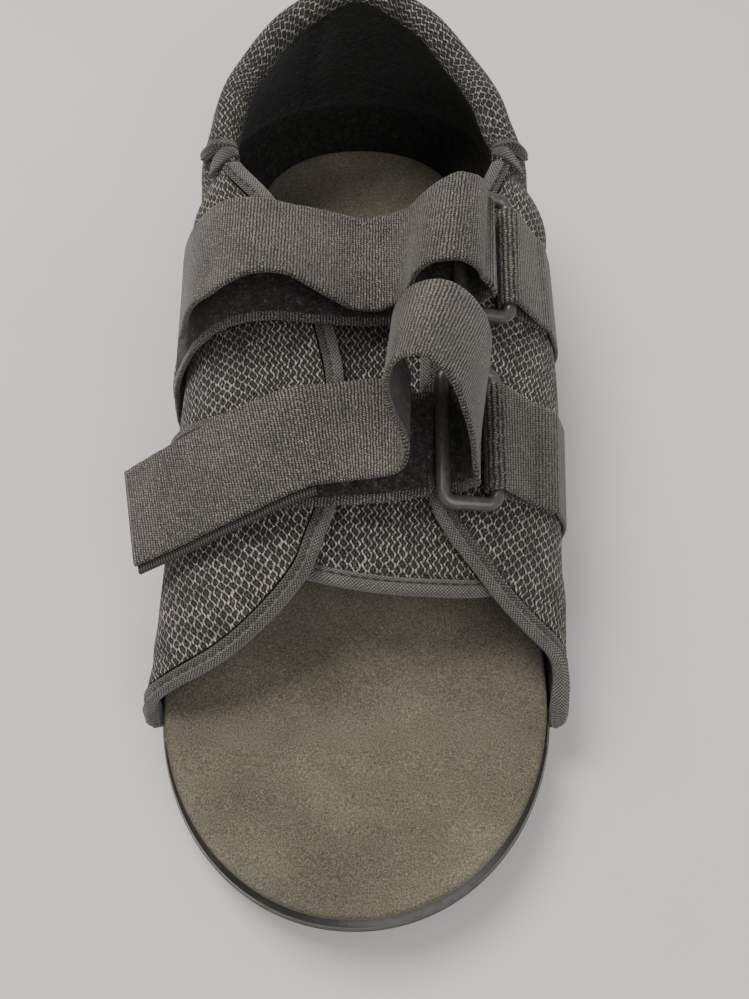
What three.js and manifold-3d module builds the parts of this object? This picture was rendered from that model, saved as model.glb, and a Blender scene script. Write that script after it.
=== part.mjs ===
// Post operative shoe: a walking sandal with a flat foam footbed, an open toe,
// a hollow mesh upper with a padded collar, a loose tongue and two straps
// that run through rectangular rings.
//
// Millimetres. X is across the shoe, Y runs from the toe to the heel, Z is up.
// The origin is the centre of the flat under the heel, on the floor.
import * as THREE from "three";
import { mergeVertices } from "three/addons/utils/BufferGeometryUtils.js";
import Module from "manifold-3d";

const wasm = await Module();
wasm.setup();
const { Manifold, Mesh: SolidMesh } = wasm;

// Footbed and sole sizes
const footbedLength = 265;
const ballWidth = 109;
const heelWidth = 74;
const toeDepth = 62;
const heelDepth = 33;
const toeFullness = 2.05;
const heelFullness = 2.2;
const footbedThickness = 7.4;
const footbedRound = 1.6;
const outsoleThickness = 14.3;
const outsoleOverhang = 2.4;
const outsoleRound = 3;
const sideRibDepth = 0.8;
const sideRibHeight = 2.4;
const toeRocker = 8;
const rockerCurve = 1.8;
const toeLift = 3;
const heelBevel = 3.5;
const bevelCurve = 1.5;
const archRise = 2.6;
const heelFlatLength = 44;
const ballFlatLength = 52;
const ballFlatFromToe = 74;
const lugDepth = 2;
const lugGap = 3;
const lugPitch = 12.5;
const lugWave = 3.5;
const ballGrooves = 7;
const heelGrooves = 4;
const firstGrooveFromToe = 42.75;

// Upper sizes
const wall = 3;
const instepHeight = 76;
const lastingMargin = 8;
const collarPad = 9.5;
const padStart = 0.9;
const padFull = 0.05;
const tapeWidth = 5;
const tapeThickness = 0.8;
const notchFromToe = 207;
const flapStart = 0.2395;
const sectionFullness = 2.2;
const lowestTape = -0.2;

// Tongue sizes
const tongueThickness = 2.4;
const tongueLength = 106;
const tongueWidth = 76;
const tongueFromToe = 77;
const tongueCentre = 7;

// Strap, ring and webbing sizes
const strapWidth = 30;
const strapThickness = 1.6;
const ringBar = 4;
const ringLength = 41;
const ringWidth = 19;
const ringCorner = 3;
const webbingThickness = 1.2;
const hookThickness = 1.4;
const hookInset = 1;
const hookShift = 3;
const hookFirstFold = 17;

// Clearances
const seam = 0.3;
const tapeSeam = 0.6;
const bindingCrossing = 0.3;
const joinDepth = 1;

// Sizes worked out from these
const halfBall = ballWidth / 2;
const halfHeel = heelWidth / 2;
const heelCentre = footbedLength - heelDepth;
const soleTop = outsoleThickness + seam;
const footbedTop = soleTop + footbedThickness;
const cornerRadius = wall + 2 * seam;
const marginHeight = outsoleThickness - wall;
const rebateFloor = marginHeight - seam;
const heelFlatBack = heelCentre + heelDepth / 2;
const heelRestFromToe = heelFlatBack - heelFlatLength / 2;
const tapeOuter = tapeThickness;
const tapeInner = wall + tapeThickness;
const strapRest = tapeOuter + bindingCrossing;
const cornerCut = 1 - Math.SQRT1_2;

// Outline of the footbed between the rounded toe and the rounded heel:
// half widths as shares of the step from the ball's half width to the heel's.
const WAIST = {
  columns: ["run", "narrow"],
  rows: [
    [0, 0],
    [0.15, 0.05],
    [0.32, 0.24],
    [0.49, 0.5],
    [0.66, 0.78],
    [0.83, 0.95],
    [1, 1],
  ],
};

// Sections of the upper. run goes from 0 at the tip of the toe to 1 at the
// heel's centre and on to 2 at the back, turning round that centre.
// side, left, right and sway are shares of the ball's half width; sideUp and
// crown are shares of the instep height; pad is the share of the collar pad.
// The last row mirrors the one before the back, so the curves are level there.
const SECTIONS = {
  columns: ["run", "side", "sideUp", "crown", "left", "right", "sway", "pad"],
  rows: [
    [0.218, 1.085, 0.22, 0.31, 1.075, 1.075, 0.00, 0],
    [0.228, 1.085, 0.25, 0.40, 1.07, 1.07, 0.00, 0],
    [0.238, 1.085, 0.28, 0.48, 1.02, 1.07, 0.00, 0],
    [0.250, 1.085, 0.30, 0.54, 0.88, 1.07, 0.00, 0],
    [0.267, 1.080, 0.32, 0.58, 0.70, 1.05, 0.01, 0],
    [0.285, 1.070, 0.34, 0.62, 0.57, 0.99, 0.02, 0],
    [0.306, 1.065, 0.35, 0.66, 0.45, 0.84, 0.02, 0],
    [0.332, 1.055, 0.37, 0.70, 0.34, 0.69, 0.03, 0],
    [0.362, 1.050, 0.40, 0.74, 0.25, 0.56, 0.04, 0],
    [0.397, 1.045, 0.42, 0.78, 0.19, 0.43, 0.04, 0],
    [0.431, 1.045, 0.44, 0.81, 0.14, 0.34, 0.045, 0],
    [0.496, 1.040, 0.47, 0.85, 0.125, 0.28, 0.06, 0],
    [0.582, 1.035, 0.51, 0.90, 0.13, 0.255, 0.075, 0],
    [0.647, 1.030, 0.54, 0.94, 0.19, 0.27, 0.08, 0],
    [0.711, 1.020, 0.57, 0.975, 0.26, 0.33, 0.075, 0],
    [0.776, 1.015, 0.60, 1.01, 0.36, 0.44, 0.07, 0],
    [0.841, 1.015, 0.61, 1.065, 0.54, 0.59, 0.065, 0.1],
    [0.892, 1.010, 0.61, 1.15, 0.72, 0.71, 0.055, 0.35],
    [0.935, 0.98, 0.60, 1.30, 0.82, 0.82, 0.04, 0.9],
    [1.0, 0.92, 0.58, 1.37, 0.77, 0.77, 0.02, 1],
    [1.3, 0.86, 0.56, 1.38, 0.705, 0.705, 0.00, 1],
    [1.6, 0.80, 0.54, 1.62, 0.685, 0.685, 0.00, 1],
    [2.0, 0.76, 0.53, 1.80, 0.65, 0.65, 0.00, 1],
    [2.4, 0.80, 0.54, 1.62, 0.685, 0.685, 0.00, 1],
  ],
};

// Front edge of the tongue: how far it lies behind the foremost point,
// as a share of the tongue's length, for places across its width.
const TONGUE = {
  columns: ["across", "front", "rear"],
  rows: [
    [-0.45, 0.07, 0.97],
    [-0.30, 0.045, 1],
    [-0.15, 0.02, 1],
    [0, 0.005, 1],
    [0.15, 0, 1],
    [0.35, 0.005, 1],
    [0.5, 0.03, 0.97],
  ],
};

// Straps, as folds in the order that the strap is threaded. The first part
// lies on the upper: hoop runs from -2 at the left foot of the wall, through
// -1 at its widest and 0 at the crown, to 1 at the right; along is a share of
// the footbed's length; lift is in strap thicknesses above the upper.
const FRONT_UNDER = {
  columns: ["hoop", "along", "lift"],
  rows: [
    [-1.72, 0.4365, 0.5],
    [-1.35, 0.4345, 0.4],
    [-1.0, 0.4325, 0.2],
    [-0.75, 0.4305, 0],
    [-0.5, 0.4295, 0],
    [-0.25, 0.4295, 0],
    [0, 0.432, 0],
    [0.18, 0.442, 0],
  ],
};
const REAR_UNDER = {
  columns: ["hoop", "along", "lift"],
  rows: [
    [-1.72, 0.5815, 0.6],
    [-1.35, 0.5865, 0.4],
    [-1.0, 0.5965, 0.3],
    [-0.75, 0.6085, 1.0],
    [-0.6, 0.6185, 2.3],
    [-0.45, 0.6265, 3.3],
    [-0.3, 0.6275, 2.9],
    [-0.15, 0.6235, 1.0],
    [-0.04, 0.622, -0.3],
    [0.06, 0.625, -0.6],
    [0.18, 0.641, 0],
  ],
};

// The free part of each strap, from the ring back to its end. across is a
// share of the ball's half width, along a share of the footbed's length, up a
// share of the instep height, lean and yaw turn the strap's width, in degrees.
const FRONT_OUTER = {
  columns: ["across", "along", "up", "lean", "yaw"],
  rows: [
    [0.605, 0.448, 1.004, 0, -8],
    [0.593, 0.451, 1.118, -10, -11],
    [0.568, 0.4585, 1.218, -17, -16],
    [0.528, 0.4687, 1.302, -20, -19],
    [0.464, 0.479, 1.355, -19, -19],
    [0.378, 0.4878, 1.386, -17, -16],
    [0.298, 0.4912, 1.376, -16, -13],
    [0.226, 0.4911, 1.338, -16, -10],
    [0.182, 0.4867, 1.274, -17, -7],
    [0.169, 0.4800, 1.198, -18, -5],
    [0.197, 0.4700, 1.116, -20, -4],
    [0.24, 0.4608, 1.046, -20, -3],
    [0.256, 0.4532, 1.006, -15, -2],
    [0.23, 0.4482, 0.970, -8, 0],
    [0.171, 0.4465, 0.952, -1, 0],
    [0.028, 0.4445, 0.942, 1, 3],
    [-0.112, 0.4413, 0.938, 1, 7],
    [-0.227, 0.4366, 0.951, 2, 10],
    [-0.320, 0.4313, 0.945, 3, 12],
    [-0.474, 0.4223, 0.905, 4, 13],
    [-0.670, 0.4111, 0.837, 4, 13],
    [-0.931, 0.3988, 0.722, 3, 13],
    [-1.157, 0.3884, 0.622, 0, 11],
  ],
};
const REAR_OUTER = {
  columns: ["across", "along", "up", "lean", "yaw"],
  rows: [
    [0.657, 0.6485, 1.11, 1, -4],
    [0.638, 0.6455, 1.17, 2, -5],
    [0.598, 0.6425, 1.22, 1, -6],
    [0.542, 0.640, 1.252, 0, -7],
    [0.483, 0.6385, 1.262, 0, -7],
    [0.416, 0.637, 1.248, -2, -8],
    [0.357, 0.6355, 1.216, -4, -7],
    [0.312, 0.6335, 1.172, -4, -5],
    [0.278, 0.6312, 1.125, -3, -2],
    [0.230, 0.6292, 1.087, 2, 0],
    [0.163, 0.6278, 1.058, 6, 0],
    [0.075, 0.6263, 1.048, 6, 0],
    [-0.013, 0.626, 1.058, 5, 0],
    [-0.162, 0.6266, 1.12, -3, 1],
    [-0.342, 0.6292, 1.183, -13, 1],
    [-0.508, 0.6295, 1.198, -9, 1],
    [-0.643, 0.6284, 1.163, -1, 0],
    [-0.725, 0.6284, 1.115, 2, 0],
    [-0.788, 0.6289, 1.07, 1, 0],
    [-0.836, 0.6286, 1.02, -1, 1],
    [-0.882, 0.6278, 0.947, -2, 2],
    [-0.925, 0.6264, 0.843, -2, 2],
  ],
};

// Places of the rings' centres
const RINGS = {
  columns: ["across", "along"],
  front: [0.545, 0.4475],
  rear: [0.64, 0.652],
};

// How a strap passes under a ring's left bar and up through the ring. bar is
// a share of the way to the bar's middle, across and above are in bar
// thicknesses, under is a share of the depth at which the strap runs below.
const THREADING = {
  columns: ["bar", "across", "above", "under"],
  rows: [
    [-1, -1, 0, 1],
    [-1, 0.25, 0, 1],
    [0, -0.5, 0, 0.5],
    [0, -0.25, 0.5, 0],
    [0, 0, 1.6, 0],
  ],
};

// Ends of a chape's two layers on the quarter, by hoop, its lift at the foot,
// and the angles of its roll round the ring's bar
const chapeEnd = 0.72;
const chapeFoot = 1.62;
const chapeFootLift = 1.5;
const chapeRoll = { from: -90, to: -315, step: 25 };

// Steps between the folds of webbing that lies on the upper, by hoop
const strapFoldStep = 0.1;
const chapeFoldStep = 0.08;

const degree = Math.PI / 180;
const vec = (x, y, z) => new THREE.Vector3(x, y, z);
const place = (x, fromToe, z) => vec(x, fromToe - heelRestFromToe, z);
const mix = (a, b, share) => a + (b - a) * share;
const smooth = (share) => {
  const held = Math.min(1, Math.max(0, share));
  return held * held * (3 - 2 * held);
};

// One row of a table by the names of its columns
const named = (table, row) => Object.fromEntries(table.columns.map((name, i) => [name, row[i]]));

// A smooth curve through a table's rows, read at a place in its first column
function read(table, at) {
  const rows = table.rows;
  const last = rows.length - 1;
  let i = 0;
  while (i < last - 1 && at > rows[i + 1][0]) i += 1;
  const [a, b] = [rows[i], rows[i + 1]];
  const before = rows[Math.max(0, i - 1)];
  const after = rows[Math.min(last, i + 2)];
  const span = b[0] - a[0];
  const share = Math.min(1, Math.max(0, (at - a[0]) / span));
  const value = (c) => {
    const slopeA = (b[c] - before[c]) / (b[0] - before[0]);
    const slopeB = (after[c] - a[c]) / (after[0] - a[0]);
    const s2 = share * share;
    const s3 = s2 * share;
    return (2 * s3 - 3 * s2 + 1) * a[c] + (s3 - 2 * s2 + share) * span * slopeA
      + (3 * s2 - 2 * s3) * b[c] + (s3 - s2) * span * slopeB;
  };
  return named(table, rows[0].map((_, c) => (c === 0 ? at : value(c))));
}

// Meshes from points and faces, turned to face out
function solidGeometry(points, faces) {
  let volume = 0;
  for (const [a, b, c] of faces) {
    volume += points[a].dot(vec(0, 0, 0).crossVectors(points[b], points[c]));
  }
  const turned = volume < 0 ? faces.map(([a, b, c]) => [a, c, b]) : faces;
  const geometry = new THREE.BufferGeometry();
  geometry.setAttribute("position",
    new THREE.Float32BufferAttribute(points.flatMap((p) => [p.x, p.y, p.z]), 3));
  geometry.setIndex(turned.flat());
  return geometry;
}

// A closed slab between two grids of points with the same rows and columns
function slab(outer, inner) {
  const rows = outer.length;
  const columns = outer[0].length;
  const points = [...outer.flat(), ...inner.flat()];
  const half = rows * columns;
  const faces = [];
  const quad = (a, b, c, d) => faces.push([a, b, c], [a, c, d]);
  const top = (i, j) => i * columns + j;
  const under = (i, j) => half + top(i, j);
  for (let i = 0; i < rows - 1; i += 1) {
    for (let j = 0; j < columns - 1; j += 1) {
      quad(top(i, j), top(i + 1, j), top(i + 1, j + 1), top(i, j + 1));
      quad(under(i, j), under(i, j + 1), under(i + 1, j + 1), under(i + 1, j));
    }
    quad(top(i, 0), under(i, 0), under(i + 1, 0), top(i + 1, 0));
    quad(top(i, columns - 1), top(i + 1, columns - 1), under(i + 1, columns - 1), under(i, columns - 1));
  }
  for (let j = 0; j < columns - 1; j += 1) {
    quad(top(0, j), top(0, j + 1), under(0, j + 1), under(0, j));
    quad(top(rows - 1, j), under(rows - 1, j), under(rows - 1, j + 1), top(rows - 1, j + 1));
  }
  return solidGeometry(points, faces);
}

// Solids for joins and cuts
function toSolid(geometry) {
  const bare = geometry.clone();
  bare.deleteAttribute("normal");
  bare.deleteAttribute("uv");
  const merged = mergeVertices(bare, 1e-4);
  return new Manifold(new SolidMesh({
    numProp: 3,
    vertProperties: new Float32Array(merged.attributes.position.array),
    triVerts: new Uint32Array(merged.index.array),
  }));
}

function fromSolid(solid) {
  const mesh = solid.getMesh();
  const geometry = new THREE.BufferGeometry();
  geometry.setAttribute("position", new THREE.Float32BufferAttribute(mesh.vertProperties, 3));
  geometry.setIndex(Array.from(mesh.triVerts));
  return geometry;
}

// Footbed outline: half width at a distance from the toe, for the straight
// stretch, and the whole loop of points, pushed out by a distance
function waistHalfWidth(fromToe) {
  const { narrow } = read(WAIST, (fromToe - toeDepth) / (heelCentre - toeDepth));
  return mix(halfBall, halfHeel, narrow);
}

function toeHalfWidth(fromToe) {
  const behind = Math.max(0, 1 - fromToe / toeDepth);
  return halfBall * (1 - behind ** toeFullness) ** (1 / toeFullness);
}

const bedHalfWidth = (fromToe) => (
  fromToe < toeDepth ? toeHalfWidth(fromToe) : waistHalfWidth(fromToe));

function heelRadius(turn) {
  const across = (Math.abs(Math.cos(turn)) / halfHeel) ** heelFullness;
  const back = (Math.abs(Math.sin(turn)) / heelDepth) ** heelFullness;
  return (across + back) ** (-1 / heelFullness);
}

function halfOutline() {
  const toeSteps = 15;
  const sideSteps = 12;
  const heelSteps = 10;
  const half = [];
  for (let i = 0; i < toeSteps; i += 1) {
    const turn = (i / toeSteps) * 90 * degree;
    const share = 2 / toeFullness;
    half.push([halfBall * Math.sin(turn) ** share, toeDepth * (1 - Math.cos(turn) ** share)]);
  }
  for (let i = 0; i < sideSteps; i += 1) {
    const fromToe = mix(toeDepth, heelCentre, i / sideSteps);
    half.push([waistHalfWidth(fromToe), fromToe]);
  }
  for (let i = 0; i <= heelSteps; i += 1) {
    const turn = (i / heelSteps) * 90 * degree;
    const radius = heelRadius(turn);
    half.push([radius * Math.cos(turn), heelCentre + radius * Math.sin(turn)]);
  }
  half[0][0] = 0;
  half[half.length - 1][0] = 0;
  return half;
}

// The outline moved out by a distance, square to itself
function movedOutline(out) {
  const half = halfOutline();
  return half.map(([x, t], i) => {
    const [bx, bt] = i > 0 ? half[i - 1] : [-half[1][0], half[1][1]];
    const [ax, at] = i < half.length - 1 ? half[i + 1] : [-half[i - 1][0], half[i - 1][1]];
    const length = Math.hypot(ax - bx, at - bt);
    return [x + (out * (at - bt)) / length, t - (out * (ax - bx)) / length];
  });
}

// A closed body from rings round the outline. Each ring has its distance out
// from the footbed's outline and a height that may change along the shoe.
function outlineBody(rings) {
  const points = [];
  const faces = [];
  const loops = rings.map(({ out, up }) => {
    const right = movedOutline(out).map(([x, t]) => place(x, t, up(t)));
    const left = right.slice(1, -1).reverse().map((p) => vec(-p.x, p.y, p.z));
    const start = points.length;
    points.push(...right, ...left);
    return { start, count: right.length + left.length, half: right.length };
  });
  const quad = (a, b, c, d) => faces.push([a, b, c], [a, c, d]);
  for (let k = 0; k < loops.length - 1; k += 1) {
    const [low, high] = [loops[k], loops[k + 1]];
    for (let i = 0; i < low.count; i += 1) {
      const j = (i + 1) % low.count;
      quad(low.start + i, low.start + j, high.start + j, high.start + i);
    }
  }
  const cap = ({ start, count, half }, turned) => {
    const at = (i) => start + ((i + count) % count);
    const face = (a, b, c) => faces.push(turned ? [a, c, b] : [a, b, c]);
    face(at(0), at(1), at(-1));
    for (let i = 1; i < half - 2; i += 1) {
      face(at(i), at(i + 1), at(-i));
      face(at(i + 1), at(-i - 1), at(-i));
    }
    face(at(half - 2), at(half - 1), at(-(half - 2)));
  };
  cap(loops[0], true);
  cap(loops[loops.length - 1], false);
  return solidGeometry(points, faces);
}

// Heights along the shoe
const topLift = (fromToe) => toeLift * (1 - Math.min(1, Math.max(0, fromToe / toeDepth))) ** 2;

function bottomHeight(fromToe) {
  const ballFlatEnd = ballFlatFromToe + ballFlatLength;
  const heelFlatStart = heelFlatBack - heelFlatLength;
  if (fromToe < ballFlatFromToe) {
    const share = (ballFlatFromToe - fromToe) / ballFlatFromToe;
    return toeRocker * share ** rockerCurve;
  }
  if (fromToe < ballFlatEnd) return 0;
  if (fromToe < heelFlatStart) {
    const share = (fromToe - ballFlatEnd) / (heelFlatStart - ballFlatEnd);
    return archRise * Math.sin(Math.PI * share) ** 2;
  }
  if (fromToe < heelFlatBack) return 0;
  const behind = Math.min(1, (fromToe - heelFlatBack) / (footbedLength - heelFlatBack));
  return heelBevel * behind ** bevelCurve;
}

function footbed() {
  const low = (t) => soleTop + topLift(t);
  const high = (t) => footbedTop + topLift(t);
  return outlineBody([
    { out: -footbedRound / 2, up: low },
    { out: 0, up: (t) => low(t) + footbedRound / 2 },
    { out: 0, up: (t) => high(t) - footbedRound },
    { out: -footbedRound * cornerCut, up: (t) => high(t) - footbedRound * cornerCut },
    { out: -footbedRound, up: high },
  ]);
}

// Grooves between the lugs: waves across the sole, cut up into its underside
function grooveCutters() {
  const cutters = [];
  const span = ballWidth + 4 * outsoleOverhang;
  const half = span / 2;
  const steps = 8;
  const edge = (offset) => {
    const line = [];
    for (let i = 0; i <= steps; i += 1) {
      const share = i / steps;
      const wave = lugWave * Math.cos(share * 4 * Math.PI);
      line.push(new THREE.Vector2(mix(-half, half, share), wave + offset));
    }
    return line;
  };
  const outline = [...edge(-lugGap / 2), ...edge(lugGap / 2).reverse()];
  const firstHeelGroove = heelRestFromToe - lugWave - ((heelGrooves - 1) * lugPitch) / 2;
  const stretches = [
    [firstGrooveFromToe, ballGrooves],
    [firstHeelGroove, heelGrooves],
  ];
  for (const [from, count] of stretches) {
    for (let i = 0; i < count; i += 1) {
      const fromToe = from + i * lugPitch;
      const reach = lugDepth + toeRocker;
      const groove = new THREE.ExtrudeGeometry(new THREE.Shape(outline), {
        depth: reach,
        bevelEnabled: false,
      });
      const top = bottomHeight(fromToe) + lugDepth;
      groove.translate(0, fromToe - heelRestFromToe, top - reach);
      cutters.push(toSolid(groove));
    }
  }
  return cutters;
}

// The outsole, with a ledge round its back and sides for the upper's margin
function outsole() {
  const ledgeStart = SECTIONS.rows[0][0] * heelCentre - cornerRadius;
  const ribLow = rebateFloor - sideRibHeight - sideRibDepth;
  const at = (height) => (t) => mix(bottomHeight(t), rebateFloor + topLift(t), height / rebateFloor);
  let body = toSolid(outlineBody([
    { out: outsoleOverhang - outsoleRound, up: bottomHeight },
    { out: outsoleOverhang - outsoleRound * cornerCut, up: at(outsoleRound * cornerCut) },
    { out: outsoleOverhang - sideRibDepth, up: at(outsoleRound) },
    { out: outsoleOverhang - sideRibDepth, up: at(ribLow) },
    { out: outsoleOverhang, up: at(ribLow + sideRibDepth) },
    { out: outsoleOverhang, up: at(ribLow + sideRibHeight) },
    { out: outsoleOverhang - sideRibDepth, up: (t) => rebateFloor + topLift(t) },
  ]));
  const deckInset = lastingMargin + 3 * seam;
  const deck = toSolid(outlineBody([
    { out: -deckInset, up: (t) => rebateFloor - joinDepth + topLift(t) },
    { out: -deckInset, up: (t) => outsoleThickness + topLift(t) },
  ]));
  const toePlate = toSolid(outlineBody([
    { out: outsoleOverhang - sideRibDepth, up: (t) => rebateFloor - joinDepth + topLift(t) },
    { out: outsoleOverhang - sideRibDepth, up: (t) => outsoleThickness - sideRibDepth + topLift(t) },
    { out: 0, up: (t) => outsoleThickness + topLift(t) },
  ]));
  const toeBox = new THREE.BoxGeometry(2 * ballWidth, 2 * ledgeStart, 3 * outsoleThickness);
  toeBox.translate(0, -heelRestFromToe, outsoleThickness);
  body = body.add(deck).add(toePlate.intersect(toSolid(toeBox)));
  for (const cutter of grooveCutters()) body = body.subtract(cutter);
  return fromSolid(body);
}

// The upper's surface. climb goes from -2 at the inner edge of the lasting
// margin, -1 and 0 at the ends of the turned corner, 1 at the widest place
// to 2 at the crown. hand is -1 on the left and 1 on the right.
function skin(run, hand, climb) {
  const section = read(SECTIONS, run);
  const turn = Math.max(0, run - 1) * 90 * degree;
  const fromToe = Math.min(run, 1) * heelCentre;
  const footRadius = run > 1 ? heelRadius(turn) : bedHalfWidth(fromToe);
  const foot = footRadius + seam + tapeInner;
  const footUp = marginHeight + cornerRadius;
  const side = section.side * halfBall;
  const sideUp = section.sideUp * instepHeight;
  const crown = section.crown * instepHeight;
  let radius;
  let up;
  let swayShare = 0;
  if (climb < -1) {
    radius = foot - cornerRadius + (climb + 1) * lastingMargin;
    up = marginHeight;
  } else if (climb < 0) {
    const angle = (climb + 1) * 90 * degree;
    radius = foot - cornerRadius + cornerRadius * Math.sin(angle);
    up = footUp - cornerRadius * Math.cos(angle);
  } else if (climb < 1) {
    radius = mix(foot, side, (1 - Math.cos(Math.PI * climb)) / 2);
    up = mix(footUp, sideUp, climb);
    swayShare = climb;
  } else {
    const angle = (climb - 1) * 90 * degree;
    const share = 2 / sectionFullness;
    radius = side * Math.max(0, Math.cos(angle)) ** share;
    up = sideUp + (crown - sideUp) * Math.sin(angle) ** share;
    swayShare = 1;
  }
  const across = hand * radius * Math.cos(turn) + section.sway * halfBall * swayShare;
  return place(across, fromToe + radius * Math.sin(turn), up);
}

// The way out of the surface
function outward(run, hand, climb) {
  const small = 0.004;
  const [low, high] = [climb - small, Math.min(2, climb + small)];
  const alongWall = skin(run, hand, high).sub(skin(run, hand, low));
  const first = Math.max(SECTIONS.rows[0][0], run - small);
  const last = Math.min(2, run + small);
  const alongShoe = skin(last, hand, climb).sub(skin(first, hand, climb));
  return vec(0, 0, 0).crossVectors(alongShoe, alongWall).normalize().multiplyScalar(hand);
}

const raised = (run, hand, climb, off) => skin(run, hand, climb)
  .addScaledVector(outward(run, hand, climb), off);

// Where the opening's edge crosses a section
function edgeClimb(run, hand) {
  const section = read(SECTIONS, run);
  const edge = hand < 0 ? section.left : section.right;
  const share = Math.min(1, edge / section.side);
  return 1 + Math.acos(share ** (sectionFullness / 2)) / (90 * degree);
}

// The opening's edge on each side, as a line of points
function edgeLine(hand) {
  const steps = 260;
  const first = SECTIONS.rows[0][0];
  return Array.from({ length: steps + 1 }, (_, i) => {
    const run = mix(first, 2, i / steps);
    return skin(run, hand, edgeClimb(run, hand));
  });
}
const edgeLines = { left: edgeLine(-1), right: edgeLine(1) };

function distanceToEdge(point, hand) {
  const line = hand < 0 ? edgeLines.left : edgeLines.right;
  const piece = new THREE.Line3();
  const nearest = vec(0, 0, 0);
  let least = Infinity;
  for (let i = 1; i < line.length; i += 1) {
    piece.set(line[i - 1], line[i]).closestPointToPoint(point, true, nearest);
    least = Math.min(least, nearest.distanceTo(point));
  }
  return least;
}

// The place on a section that lies a distance in from the opening's edge
function insetClimb(run, hand, inset, lowest = -1) {
  let [low, high] = [lowest, edgeClimb(run, hand)];
  if (distanceToEdge(skin(run, hand, low), hand) < inset) return low;
  for (let i = 0; i < 22; i += 1) {
    const middle = (low + high) / 2;
    if (distanceToEdge(skin(run, hand, middle), hand) > inset) low = middle;
    else high = middle;
  }
  return high;
}

// Runs along the wrap from the left front corner round the heel to the right
function wrapStations(runs) {
  const back = [...runs].reverse().filter((run) => run < 2);
  return [...runs.map((run) => [run, -1]), ...back.map((run) => [run, 1])];
}

// Heights of the rounded rim: angles round its half circle
const rimAngles = [0, 30, 55, 75].map((angle) => angle * degree);

// Thickness of the upper's wall, padded towards the collar's rim
function wallThickness(run, hand, climb) {
  const { pad } = read(SECTIONS, run);
  const rise = edgeClimb(run, hand) - padFull - padStart;
  const share = smooth((climb - padStart) / rise);
  return mix(wall, collarPad, pad * share);
}

const notchRun = notchFromToe / heelCentre;

// Places along each flap, close together at its front corner
function flapRuns() {
  const rows = SECTIONS.rows.map((row) => row[0]).filter((run) => run < notchRun);
  const denseTo = 0.38;
  const between = rows.slice(1).map((run, i) => (run + rows[i]) / 2).filter((run) => run < denseTo);
  return [...rows, ...between].sort((a, b) => a - b);
}

function upper() {
  const collarSteps = 14;
  const collarRuns = [];
  const collarStart = notchRun + (2 * tapeSeam) / heelCentre;
  for (let i = 0; i <= collarSteps; i += 1) collarRuns.push(mix(collarStart, 2, i / collarSteps));
  const flaps = flapRuns().filter((run) => run > flapStart);
  const stations = wrapStations([...flaps, notchRun, ...collarRuns]);
  const outer = [];
  const inner = [];
  for (const [run, hand] of stations) {
    const bound = run <= notchRun;
    const inset = bound ? tapeWidth + tapeSeam : 0;
    const thick = wallThickness(run, hand, insetClimb(run, hand, inset));
    const rim = rimAngles.map((angle) => ({
      climb: insetClimb(run, hand, inset + (thick / 2) * (1 - Math.sin(angle))),
      cut: bound ? 0 : (thick / 2) * (1 - Math.cos(angle)),
    }));
    const first = rim[0].climb;
    const lowShare = 0.6;
    const middle = Math.min(1, lowShare * first);
    const climbs = [-2, -1, -0.5, 0, middle / 2, middle];
    const risers = 4;
    for (let i = 1; i < risers; i += 1) climbs.push(mix(middle, first, i / risers));
    const rows = [...climbs.map((climb) => ({ climb, cut: 0 })), ...rim];
    outer.push(rows.map(({ climb, cut }) => raised(run, hand, climb, -cut)));
    inner.push(rows.map(({ climb, cut }) => (
      raised(run, hand, climb, cut - wallThickness(run, hand, climb)))));
  }
  return slab(outer, inner);
}

// The bound edge of one flap, from its front corner up to the collar's notch
function flapBinding(hand) {
  const outer = [];
  const inner = [];
  const thick = tapeOuter + tapeInner;
  for (const run of [...flapRuns(), notchRun - seam / heelCentre]) {
    const rows = rimAngles.map((angle) => ({
      inset: (thick / 2) * (1 - Math.sin(angle)),
      cut: (thick / 2) * (1 - Math.cos(angle)),
    }));
    rows.unshift({ inset: tapeWidth, cut: 0 });
    const at = (inset, off) => raised(run, hand, insetClimb(run, hand, inset, lowestTape), off);
    outer.push(rows.map(({ inset, cut }) => at(inset, tapeOuter - cut)));
    inner.push(rows.map(({ inset, cut }) => at(inset, cut - tapeInner)));
  }
  return slab(outer, inner);
}

// Points over the instep by their place across and along the shoe
function hoopAt(across, fromToe) {
  const run = fromToe / heelCentre;
  const section = read(SECTIONS, run);
  const away = across - section.sway * halfBall;
  const share = Math.min(1, Math.abs(away) / (section.side * halfBall));
  const climb = 1 + Math.acos(share ** (sectionFullness / 2)) / (90 * degree);
  return { run, hand: away < 0 ? -1 : 1, climb };
}

function overInstep(across, fromToe, off) {
  const { run, hand, climb } = hoopAt(across, fromToe);
  return raised(run, hand, climb, off);
}

// The tongue lies under both flaps and their bindings
const tongueOuter = -(tapeInner + seam);
const tongueColumns = 12;
const tongueRows = 10;

function tongueGrid(frontIn, rearIn, off, columns, rows) {
  const grid = [];
  const [low, high] = [TONGUE.rows[0][0], TONGUE.rows[TONGUE.rows.length - 1][0]];
  for (let i = 0; i <= columns; i += 1) {
    const across = mix(low, high, i / columns);
    const { front, rear } = read(TONGUE, across);
    const from = tongueFromToe + front * tongueLength + frontIn;
    const to = rearIn === undefined ? tongueFromToe + rear * tongueLength
      : tongueFromToe + front * tongueLength + rearIn;
    const line = [];
    for (let j = 0; j <= rows; j += 1) {
      line.push(overInstep(tongueCentre + across * tongueWidth, mix(from, to, j / rows), off));
    }
    grid.push(line);
  }
  return grid;
}

function tongue() {
  const off = tongueOuter - tapeThickness;
  return slab(
    tongueGrid(tapeWidth + seam, undefined, off, tongueColumns, tongueRows),
    tongueGrid(tapeWidth + seam, undefined, off - tongueThickness, tongueColumns, tongueRows),
  );
}

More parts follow.
